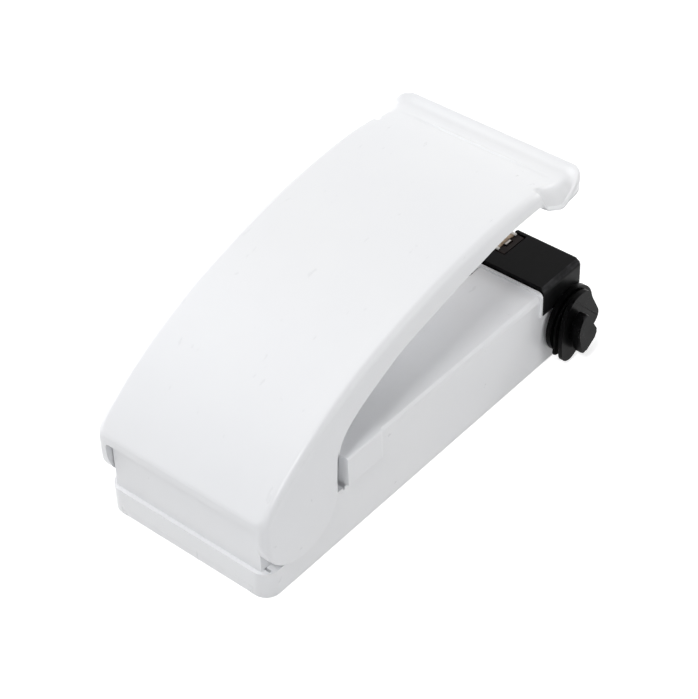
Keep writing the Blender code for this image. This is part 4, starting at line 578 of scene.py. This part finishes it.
# Pieces
def add_piece(name, bm, body, look, *replaced):
    mesh = bpy.data.meshes.new(name)
    bmesh.ops.translate(bm, verts=bm.verts, vec=MOVE)
    bmesh.ops.recalc_face_normals(bm, faces=bm.faces)
    bm.to_mesh(mesh)
    bm.free()
    mesh.shade_smooth()
    mesh.set_sharp_from_angle(angle=SMOOTH_ANGLE)
    mesh.materials.append(LOOKS[look])
    piece = placed(name, mesh)
    flat = piece.modifiers.new("flat_faces", "WEIGHTED_NORMAL")
    flat.keep_sharp = True
    flat.weight = 50
    if body is not None:
        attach(piece, body)
    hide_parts(*replaced)
    return piece


# Joins or cuts a mesh with a tool mesh, both still in the base's own places
def combined(bm, tool, operation):
    objects = []
    for name, source in (("combine_target", bm), ("combine_tool", tool)):
        mesh = bpy.data.meshes.new(name)
        bmesh.ops.recalc_face_normals(source, faces=source.faces)
        source.to_mesh(mesh)
        source.free()
        objects.append(placed(name, mesh))
    target, helper = objects
    step = target.modifiers.new("combine", "BOOLEAN")
    step.operation = operation
    step.solver = "EXACT"
    step.object = helper
    settled = bpy.context.evaluated_depsgraph_get()
    result = bmesh.new()
    result.from_object(target, settled)
    for made in objects:
        mesh = made.data
        bpy.data.objects.remove(made)
        bpy.data.meshes.remove(mesh)
    return result


# Outline drawn out along an axis
def prism(outline, low, high, axis):
    bm = bmesh.new()
    start, end = [], []
    for ring, along in ((start, low), (end, high)):
        for a, b in outline:
            spot = {"X": (along, a, b), "Y": (a, along, b), "Z": (a, b, along)}[axis]
            ring.append(bm.verts.new(spot))
    bm.faces.new(start)
    bm.faces.new(list(reversed(end)))
    for k in range(len(outline)):
        after = (k + 1) % len(outline)
        bm.faces.new((start[k], end[k], end[after], start[after]))
    return bm


def box(low, high):
    outline = [(low[0], low[1]), (high[0], low[1]), (high[0], high[1]), (low[0], high[1])]
    return prism(outline, low[2], high[2], "Z")


def arc(centre, radius, start, end, steps):
    points = []
    for k in range(steps + 1):
        angle = start + (end - start) * k / steps
        points.append((centre[0] + radius * cos(angle), centre[1] + radius * sin(angle)))
    return points


def rod(axis, centre, radius, low, high):
    return prism(arc(centre, radius, 0.0, 2 * pi, ROUND_SIDES)[:-1], low, high, axis)


# Turned from the lid's closed place to its open one
def opened(bm):
    turn = Matrix.Rotation(-CLOSING_ANGLE, 4, "Y")
    bmesh.ops.rotate(bm, verts=bm.verts, cent=(PIVOT_X, 0.0, PIVOT_Z), matrix=turn)
    return bm


def merged(parts):
    whole = bmesh.new()
    for part in parts:
        mesh = bpy.data.meshes.new("part")
        part.to_mesh(mesh)
        part.free()
        whole.from_mesh(mesh)
        bpy.data.meshes.remove(mesh)
    return whole


# Closed outline from corners, each with the length that its rounding takes off both edges
def rounded(corners):
    points = []
    for k, (a, b, cut) in enumerate(corners):
        corner = Vector((a, b))
        before = corner + (Vector(corners[k - 1][:2]) - corner).normalized() * cut
        after = corner + (Vector(corners[(k + 1) % len(corners)][:2]) - corner).normalized() * cut
        for n in range(ROUNDED_STEPS + 1):
            t = n / ROUNDED_STEPS
            points.append(tuple(before * (1 - t) ** 2 + corner * 2 * t * (1 - t) + after * t ** 2))
    return points


def bevelled(bm, edges, width, segments, clamped=True):
    bmesh.ops.bevel(bm, geom=edges, offset=width, segments=segments, affect="EDGES", profile=0.5,
                    clamp_overlap=clamped)


# Flat plate across Y with both rims rounded
def plate(outline, outer_y, inner_y, rounding):
    bm = prism(outline, outer_y, inner_y, "Y")
    rims = [edge for edge in bm.edges if abs(edge.verts[0].co.y - edge.verts[1].co.y) < WELD]
    bevelled(bm, rims, rounding, 3)
    return bm


# Rounds the sharp outer edges, or those of them that a test on their two ends chooses
def soften(bm, width, segments, chosen):
    edges = []
    for edge in bm.edges:
        if edge.is_manifold and edge.is_convex and edge.calc_face_angle() > SHARP_ANGLE:
            if chosen is None or chosen(*(vert.co for vert in edge.verts)):
                edges.append(edge)
    bevelled(bm, edges, width, segments)


# A CAD solid's own mesh, moved back to the base's own places
def bare(node):
    bm = bmesh.new()
    bm.from_mesh(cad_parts[node].data)
    bmesh.ops.remove_doubles(bm, verts=bm.verts, dist=WELD)
    bmesh.ops.translate(bm, verts=bm.verts, vec=-MOVE)
    return bm


# The same mesh with its sharp outer edges rounded off
def skin(node, width, chosen=None, broad=None):
    bm = bare(node)
    bmesh.ops.dissolve_limit(bm, angle_limit=FLAT_ANGLE, verts=bm.verts, edges=bm.edges)
    if broad is not None:
        soften(bm, BROAD_ROUNDING, 4, broad)
    soften(bm, width, 2, chosen)
    return bm


# Round wire along points
def wire(points, radius):
    bm = bmesh.new()
    rings = []
    points = [Vector(point) for point in points]
    side = Vector((0.0, 0.0, 1.0))
    for k, point in enumerate(points):
        along = (points[min(k + 1, len(points) - 1)] - points[max(k - 1, 0)]).normalized()
        side = side.cross(along).cross(along) * -1
        side = (side - along * side.dot(along)).normalized()
        other = along.cross(side)
        ring = []
        for n in range(WIRE_SIDES):
            angle = 2 * pi * n / WIRE_SIDES
            ring.append(bm.verts.new(
                point + side * radius * cos(angle) + other * radius * sin(angle)))
        rings.append(ring)
    for ring, after in zip(rings, rings[1:]):
        for n in range(WIRE_SIDES):
            m = (n + 1) % WIRE_SIDES
            bm.faces.new((ring[n], ring[m], after[m], after[n]))
    bm.faces.new(rings[0])
    bm.faces.new(rings[-1])
    return bm


# Lid

# Smooth curve through a table of points
def share_at(table, share):
    last = len(table) - 1
    k = 0
    while k < last - 1 and share > table[k + 1][0]:
        k += 1

    def slope(n):
        low, high = max(n - 1, 0), min(n + 1, last)
        return (table[high][1] - table[low][1]) / (table[high][0] - table[low][0])

    span = table[k + 1][0] - table[k][0]
    t = (share - table[k][0]) / span
    start, end = table[k][1], table[k + 1][1]
    return (start * (2 * t ** 3 - 3 * t ** 2 + 1) + end * (3 * t ** 2 - 2 * t ** 3)
            + slope(k) * span * (t ** 3 - 2 * t ** 2 + t)
            + slope(k + 1) * span * (t ** 3 - t ** 2))


def smooth_step(value):
    t = min(max(value, 0.0), 1.0)
    return t * t * (3 - 2 * t)


def lid_top(x):
    share = (x - LID_REAR_X) / (LID_FRONT_X - LID_REAR_X)
    return LID_REAR_Z + LID_RISE * share_at(LID_TOP_SHARES, share)


def lid_underside(x):
    slope = (lid_top(x + SLOPE_STEP) - lid_top(x - SLOPE_STEP)) / (2 * SLOPE_STEP)
    return lid_top(x) - LID_PLATE * hypot(1, slope)


# Share of the lip in the lid's section, from none behind it to all of it
def lip_blend(x):
    return smooth_step((x - LIP_REAR_X) / LIP_BLEND_LENGTH)


def lid_foot(x):
    if x < LID_SIDE_X - LID_FOOT_STEP / 2:
        return PIVOT_Z - sqrt(max(EAR_RADIUS ** 2 - (x - PIVOT_X) ** 2, 0.0))
    share = (min(x, LIP_REAR_X) - LID_SIDE_X) / (LIP_REAR_X - LID_SIDE_X)
    side_foot = LID_REAR_Z + LID_RISE * share_at(LID_FOOT_SHARES, share)
    return side_foot + (LIP_FOOT_Z - side_foot) * lip_blend(x)


# How far a rounded edge of this radius falls back at a distance past its start
def fallen(radius, past):
    return radius - sqrt(max(radius ** 2 - max(past, 0.0) ** 2, 0.0))


def lip_flare(x):
    return LIP_FLARE * smooth_step((x - LIP_REAR_X) / LIP_FLARE_LENGTH)


def lip_half_width(x):
    return LID_OUTER_Y + lip_flare(x) - fallen(LIP_CORNER, x - (LID_FRONT_X - LIP_CORNER))


# Height of the lip's surface: it falls to the rim at the sides and rises to it at the front
def lip_height(x, y):
    past_x = x - (LID_FRONT_X - LIP_CORNER)
    past_y = abs(y) - (LIP_HALF_WIDTH - LIP_CORNER)
    if past_x > 0 and past_y > 0:
        inset = LIP_CORNER - hypot(past_x, past_y)
    else:
        inset = min(LID_FRONT_X - x, lip_half_width(x) - abs(y))
    climb = smooth_step((x - LIP_CLIMB_REAR_X) / (LIP_CLIMB_FRONT_X - LIP_CLIMB_REAR_X))
    rim = (LIP_RIM_HEIGHT + LIP_RIM_REAR_DROP) * climb - LIP_RIM_REAR_DROP
    valley = LID_EDGE_ROUNDING + lip_flare(x)
    share = min(max((valley - inset) / (valley - LIP_ROLL), 0.0), 1.0)
    line = LIP_LINE_HEIGHT * max(1.0 - ((x - LIP_LINE_X) / LIP_LINE_WIDTH) ** 2, 0.0)
    line *= smooth_step((LIP_LINE_HALF_LENGTH - abs(y)) / LIP_LINE_FADE)
    return lid_top(x) + line + rim * (smooth_step(share) if rim > 0 else share ** 2)


# Half a section from the start of the rounded edge inwards: columns over the top to the middle
def columns(start):
    places = [start - (k + 1) * EDGE_COLUMN_STEP for k in range(EDGE_COLUMNS)]
    flat = places[-1]
    return places + [flat * (1 - k / FLAT_COLUMNS) for k in range(1, FLAT_COLUMNS + 1)]


# Half of the lid's section behind the lip: foot, side wall, rounded edge and top
def side_points(x):
    width = LID_OUTER_Y - fallen(LID_REAR_CORNER, LID_REAR_X + LID_REAR_CORNER - x)
    foot, rounding = lid_foot(x), LID_EDGE_ROUNDING
    edge = lid_top(x) - fallen(LID_REAR_ROUNDING, LID_REAR_X + LID_REAR_ROUNDING - x)
    points = []
    for k in range(WALL_STEPS):
        points.append((width, foot + (edge - rounding - foot) * k / WALL_STEPS))
    points += arc((width - rounding, edge - rounding), rounding, 0.0, pi / 2, ARC_STEPS)
    return points + [(y, edge) for y in columns(width - rounding)]


# The same half section through the lip: tucked under, rolled over, and down to the valley
def lip_points(x):
    width, foot = lip_half_width(x), lid_foot(x)
    drop = fallen(LIP_ROLL, x - (LID_FRONT_X - LIP_ROLL))
    roll = max(LIP_ROLL - drop, LEAST_ROLL)
    crest = lip_height(x, width - LIP_ROLL) - drop
    points = []
    for k in range(WALL_STEPS):
        angle = pi / 2 * (1 - k / WALL_STEPS)
        height = (crest - roll - foot) * sin(angle)
        points.append((width - LIP_TUCK * (1 - cos(angle)), crest - roll - height))
    for k in range(ARC_STEPS + 1):
        angle = pi / 2 * k / ARC_STEPS
        points.append((width - LIP_ROLL * (1 - cos(angle)), crest - roll * (1 - sin(angle))))
    return points + [(y, lip_height(x, y) - drop) for y in columns(width - LIP_ROLL)]


def mirrored(points):
    return points + [(-y, z) for y, z in reversed(points[:-1])]


def outer_profile(x):
    blend = lip_blend(x)
    if blend == 0.0:
        return mirrored(side_points(x))
    half = []
    behind = side_points(min(x, LIP_REAR_X + LIP_BLEND_LENGTH))
    for (y, z), (lip_y, lip_z) in zip(behind, lip_points(x)):
        half.append((y + (lip_y - y) * blend, z + (lip_z - z) * blend))
    return mirrored(half)


def inner_x(x):
    if x <= LIP_REAR_X:
        return x
    return LIP_REAR_X + (x - LIP_REAR_X) * (LIP_LENGTH - LIP_FRONT_WALL) / LIP_LENGTH


def inner_profile(x):
    foot, roof, width = lid_foot(x), lid_underside(x), LID_INNER_Y
    middle = roof - LID_INNER_ROUNDING
    points = [(width, foot + (middle - foot) * k / WALL_STEPS) for k in range(WALL_STEPS)]
    points += arc((width - LID_INNER_ROUNDING, middle), LID_INNER_ROUNDING, 0.0, pi / 2, ARC_STEPS)
    return mirrored(points + [(y, roof) for y in columns(width - LID_INNER_ROUNDING)])


def lid_stations():
    last = EAR_STATIONS - 1
    stations = [PIVOT_X - EAR_RADIUS * cos(pi * k / last) for k in range(EAR_STATIONS)]
    for k in range(SIDE_STATIONS + 1):
        reach = (k / SIDE_STATIONS) ** SIDE_STATION_POWER
        stations.append(LID_SIDE_X + (LIP_REAR_X - LID_SIDE_X) * reach)
    for k in range(1, LIP_STATIONS + 1):
        stations.append(LIP_REAR_X + (LID_FRONT_X - LIP_REAR_X) * sin(pi / 2 * k / LIP_STATIONS))
    return stations


def lid_loft():
    bm = bmesh.new()
    outer, inner = [], []
    for x in lid_stations():
        outer.append([bm.verts.new((x, y, z)) for y, z in outer_profile(x)])
        within = inner_x(x)
        inner.append([bm.verts.new((within, y, z)) for y, z in inner_profile(within)])
    last = len(outer[0]) - 1
    for grid in (outer, inner):
        for row, after in zip(grid, grid[1:]):
            for j in range(last):
                bm.faces.new((row[j], row[j + 1], after[j + 1], after[j]))
        bm.faces.new(grid[-1])
    for j in range(last):
        bm.faces.new((outer[0][j], outer[0][j + 1], inner[0][j + 1], inner[0][j]))
    for i in range(len(outer) - 1):
        for j in (0, last):
            bm.faces.new((outer[i][j], outer[i + 1][j], inner[i + 1][j], inner[i][j]))
    bm.faces.new((outer[-1][0], outer[-1][last], inner[-1][last], inner[-1][0]))
    rim = [bm.edges.get((outer[-1][0], outer[-1][last]))]
    for before, after in zip(outer, outer[1:]):
        rim += [bm.edges.get((before[j], after[j])) for j in (0, last)]
    bmesh.ops.recalc_face_normals(bm, faces=bm.faces)
    bevelled(bm, rim, LID_FOOT_ROUNDING, 3, clamped=False)
    return bm


def add_lid_skin():
    bm = lid_loft()
    for side in SIDES:
        near, far = sorted((side * (LID_INNER_Y - CUT_OVERRUN), side * (LID_OUTER_Y - PIN_SKIN)))
        bm = combined(bm, rod("Y", (PIVOT_X, PIVOT_Z), PIN_HOLE_RADIUS, near, far), "DIFFERENCE")
    under = lid_underside(SPRING_X)
    peg = rod("Z", (SPRING_X, 0.0), SPRING_PEG_RADIUS, under - SPRING_PEG_LENGTH,
              under + LID_PLATE / 2)
    bm = combined(bm, peg, "UNION")
    post, bar = POST_HALF_WIDTH, POST_BAR_HALF_WIDTH
    section = [(-bar, POST_TIP), (bar, POST_TIP), (bar, POST_BAR_TOP), (post, POST_BAR_TOP),
               (post, POST_TOP), (-post, POST_TOP), (-post, POST_BAR_TOP), (-bar, POST_BAR_TOP)]
    column = prism(section, POST_X - POST_HALF_LENGTH, POST_X + POST_HALF_LENGTH, "X")
    bm = combined(bm, opened(column), "UNION")
    for side in SIDES:
        centre = (BOSS_X, side * BOSS_Y)
        bm = combined(bm, opened(rod("Z", centre, BOSS_RADIUS, BOSS_FOOT, BOSS_TOP)), "UNION")
        hole = rod("Z", centre, BOSS_HOLE_RADIUS, BOSS_FOOT - CUT_OVERRUN, BOSS_HOLE_TOP)
        bm = combined(bm, opened(hole), "DIFFERENCE")
    add_piece("lid_skin", bm, "lid", "white_plastic", "lid_shell")


# Base, with the fine slots and the raised rim behind the saddle
def add_base_skin():
    def outside(a, b):
        if (a - b).length < BASE_LEAST_EDGE:
            return False
        if min(a.x, b.x) > BASE_SEAT_X and max(a.z, b.z) > BASE_SEAT_Z:
            return False
        beyond = max(abs(a.y), abs(b.y)) > BASE_SIDE_Y or min(a.x, b.x) < BASE_REAR_X
        return beyond or max(a.z, b.z) > BASE_TOP_Z

    def top_side(a, b):
        along = abs(a.x - b.x) > TOP_SIDE_LENGTH and abs(a.y - b.y) < WELD
        return (along and min(a.z, b.z) > TOP_SIDE_Z
                and TOP_SIDE_NEAR_Y < abs(a.y) < TOP_SIDE_FAR_Y)

    bm = skin("base_shell", SHELL_EDGE, outside, top_side)
    rim = prism(rounded(RIM_CORNERS), RIM_REAR_X, RIM_FRONT_X, "X")
    bm = combined(bm, rim, "UNION")
    cuts = []
    for side in SIDES:
        for low_x, high_x, low_y, high_y, low_z, high_z in BASE_SLOTS:
            near, far = sorted((side * low_y, side * high_y))
            cuts.append(box((low_x, near, low_z), (high_x, far, high_z)))
    bm = combined(bm, merged(cuts), "DIFFERENCE")
    add_piece("base_skin", bm, "base", "white_plastic", "base_shell")


# Door, widened at its rear so that no gap shows around it
def add_door_skin():
    bm = skin("battery_door", THIN_EDGE)
    for vert in bm.verts:
        if vert.co.x < DOOR_FLANGE_X:
            vert.co.y += DOOR_FLANGE if vert.co.y > 0 else -DOOR_FLANGE
            if vert.co.z > DOOR_TONGUE_TOP:
                vert.co.z += DOOR_FLANGE
            elif vert.co.z > DOOR_TONGUE_FOOT:
                vert.co.z -= DOOR_FLANGE
    add_piece("battery_door_skin", bm, "door", "white_plastic", "battery_door")


def add_saddle_skin():
    bm = skin("nose_saddle", SADDLE_EDGE)
    for vert in bm.verts:
        if vert.co.z > SADDLE_TOP_FROM:
            vert.co.z += SADDLE_THICKER
    add_piece("nose_saddle_skin", bm, "base", "black_plastic", "nose_saddle")


def add_lock_skins():
    disc = arc(LOCK_CENTRE, LOCK_DISC_RADIUS, 0.0, 2 * pi, ROUND_SIDES)[:-1]
    stop = arc(LOCK_CENTRE, LOCK_STOP_RADIUS, LOCK_STOP_START, LOCK_STOP_END, ROUND_SIDES)
    tip = rounded([(*stop[-1], 0.0), *LOCK_STOP_TIP, (*stop[0], 0.0)])
    stop += tip[ROUNDED_STEPS + 1:-ROUNDED_STEPS - 1]
    for name, outline, layer in (
            ("lock_disc", disc, LOCK_DISC_LAYER),
            ("lock_stop_plate", stop, LOCK_STOP_LAYER),
            ("lock_dial", rounded(LOCK_DIAL_CORNERS), LOCK_DIAL_LAYER),
            ("lock_grip", rounded(LOCK_GRIP_CORNERS), LOCK_GRIP_LAYER)):
        add_piece(name + "_skin", plate(outline, *layer), "lock", "knob_plastic", name)


# Cuts a cross into the head of a screw that points up
def cross_cut(bm, centre, half_length):
    low = min(vert.co.z for vert in bm.verts)
    for long_x, long_y in ((half_length, CROSS_HALF_WIDTH), (CROSS_HALF_WIDTH, half_length)):
        bar = box((centre[0] - long_x, centre[1] - long_y, low - CROSS_OVERRUN),
                  (centre[0] + long_x, centre[1] + long_y, low + CROSS_DEPTH))
        bm = combined(bm, bar, "DIFFERENCE")
    return bm


def add_screw_skins():
    for end, x in (("rear", SCREW_REAR_X), ("front", SCREW_FRONT_X)):
        for name, side in (("right", -1), ("left", 1)):
            node = "bottom_screw_%s_%s" % (end, name)
            bm = cross_cut(skin(node, MOULDED_EDGE), (x, side * SCREW_Y), SCREW_CROSS)
            add_piece(node + "_skin", bm, "base", "bright_steel", node)
    closing = Matrix.Rotation(CLOSING_ANGLE, 4, "Y")
    for name, side in (("right", -1), ("left", 1)):
        node = "holder_screw_" + name
        bm = skin(node, SMALL_EDGE)
        bmesh.ops.rotate(bm, verts=bm.verts, cent=(PIVOT_X, 0.0, PIVOT_Z), matrix=closing)
        bm = opened(cross_cut(bm, (BOSS_X, side * BOSS_Y), HOLDER_CROSS))
        add_piece(node + "_skin", bm, "lid", "bright_steel", node)


# Open coil from the base to the leaning underside of the lid
def add_spring():
    low = BODY_HEIGHT + SEAT_GAP + SPRING_WIRE
    front, rear = lid_underside(SPRING_X + SPRING_RADIUS), lid_underside(SPRING_X - SPRING_RADIUS)
    slope = (front - rear) / (2 * SPRING_RADIUS)
    height = lid_underside(SPRING_X) - SEAT_GAP * 2 - SPRING_WIRE * hypot(1, slope) - low
    points = []
    count = SPRING_TURNS * TURN_POINTS
    for k in range(count + 1):
        share = k / count
        angle = 2 * pi * SPRING_TURNS * share
        reach = SPRING_RADIUS * cos(angle)
        rise = share * (height + slope * reach)
        points.append((SPRING_X + reach, SPRING_RADIUS * sin(angle), low + rise))
    spring = add_piece("return_spring_skin", wire(points, SPRING_WIRE), None, "bright_steel",
                       "return_spring")
    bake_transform(spring)


# Cone-shaped coils that press on the cells
def add_coils():
    for name, (wide_x, narrow_x), y in (("bridge_coil", BRIDGE_COIL_X, CELL_Y),
                                        ("negative_coil", NEGATIVE_COIL_X, -CELL_Y)):
        count = COIL_TURNS * TURN_POINTS
        points = []
        for k in range(count + 1):
            share = k / count
            radius = COIL_WIDE + (COIL_NARROW - COIL_WIDE) * share
            angle = 2 * pi * COIL_TURNS * share
            points.append((wide_x + (narrow_x - wide_x) * share, y + radius * cos(angle),
                           CELL_Z + radius * sin(angle)))
        add_piece(name + "_skin", wire(points, COIL_WIRE), "base", "bright_steel", name)


# Cloth and its rails, a little shorter than the heater below them
def add_cloth_skins():
    for node, look, bm in (
            ("heater_cloth", "heater_cloth", bare("heater_cloth")),
            ("cloth_rail_rear", "rail_plastic", skin("cloth_rail_rear", THIN_EDGE)),
            ("cloth_rail_front", "rail_plastic", skin("cloth_rail_front", THIN_EDGE))):
        for vert in bm.verts:
            vert.co.y *= CLOTH_SHARE
        add_piece(node + "_skin", bm, "base", look, node)


# Small pieces that differ from their CAD solids only in their rounded edges and looks
def add_small_skins():
    for node, body, look, width in (
            ("bottom_plate", "base", "white_plastic", THIN_EDGE),
            ("heater_block", "base", "heater_plastic", MOULDED_EDGE),
            ("pad_holder", "lid", "black_plastic", MOULDED_EDGE),
            ("pressing_pad", "lid", "pad_rubber", SOFT_EDGE),
            ("lock_arm", "lock", "black_plastic", MOULDED_EDGE),
            ("lock_shaft", "lock", "bright_steel", MOULDED_EDGE),
            ("lock_clip", "lock", "bright_steel", CLIP_EDGE),
            ("hinge_pin_right", "base", "bright_steel", SOFT_EDGE),
            ("hinge_pin_left", "base", "bright_steel", SOFT_EDGE),
            ("bridge_plate", "base", "bright_steel", SHEET_EDGE),
            ("negative_plate", "base", "bright_steel", SHEET_EDGE),
            ("positive_plate", "base", "bright_steel", SHEET_EDGE),
            ("switch_bridge", "lid", "contact_brass", SHEET_EDGE),
            ("contact_strip_right", "base", "contact_brass", SHEET_EDGE),
            ("contact_strip_left", "base", "contact_brass", SHEET_EDGE),
            ("cell_right", "base", "cell_jacket", SOFT_EDGE),
            ("cell_left", "base", "cell_jacket", SOFT_EDGE)):
        add_piece(node + "_skin", skin(node, width), body, look, node)
    for node, look in (("lead_from_positive", "red_lead"), ("lead_to_negative", "black_lead"),
                       ("lead_switched", "white_lead")):
        add_piece(node + "_skin", bare(node), "base", look, node)


LOOKS = {
    "white_plastic": white_plastic(),
    # The fourth colour of each black plastic is the colour of its painted edge highlight
    "black_plastic": black_plastic(
        "black_plastic", (0.0022, 0.0022, 0.0024), (0.0040, 0.0040, 0.0043),
        (0.030, 0.030, 0.032), 0.07, 0.30),
    "knob_plastic": black_plastic(
        "knob_plastic", (0.0010, 0.0010, 0.0011), (0.0020, 0.0020, 0.0021),
        (0.040, 0.040, 0.042), 0.045, 0.24),
    "heater_plastic": heater_plastic(),
    "pad_rubber": rubber("pad_rubber", (0.42, 0.13, 0.06), (0.55, 0.19, 0.09)),
    "heater_cloth": glass_cloth(),
    "rail_plastic": rubber("rail_plastic", (0.68, 0.67, 0.63), (0.78, 0.77, 0.73)),
    "bright_steel": metal("bright_steel", (0.55, 0.55, 0.56), (0.68, 0.68, 0.70), 0.18, 0.32),
    "contact_brass": metal("contact_brass", (0.60, 0.42, 0.18), (0.76, 0.58, 0.28), 0.20, 0.36),
    "heater_wire": metal("heater_wire", (0.34, 0.31, 0.29), (0.50, 0.47, 0.44), 0.25, 0.42),
    "cell_jacket": cell_film(),
    "red_lead": lead_sleeve("red_lead", (0.38, 0.02, 0.02), (0.50, 0.03, 0.03)),
    "black_lead": lead_sleeve("black_lead", (0.008, 0.008, 0.009), (0.02, 0.02, 0.022)),
    "white_lead": lead_sleeve("white_lead", (0.70, 0.70, 0.70), (0.80, 0.80, 0.80)),
}

bpy.context.scene.view_settings.view_transform = "Standard"
add_camera()
add_sky()
add_floor()
for lamp_name, lamp_place, lamp_size, lamp_watts in LAMPS:
    add_lamp(lamp_name, lamp_place, lamp_size, lamp_watts)
give("heater_wire", "heater_strip")
add_lid_skin()
add_base_skin()
add_door_skin()
add_saddle_skin()
add_lock_skins()
add_screw_skins()
add_spring()
add_coils()
add_cloth_skins()
add_small_skins()
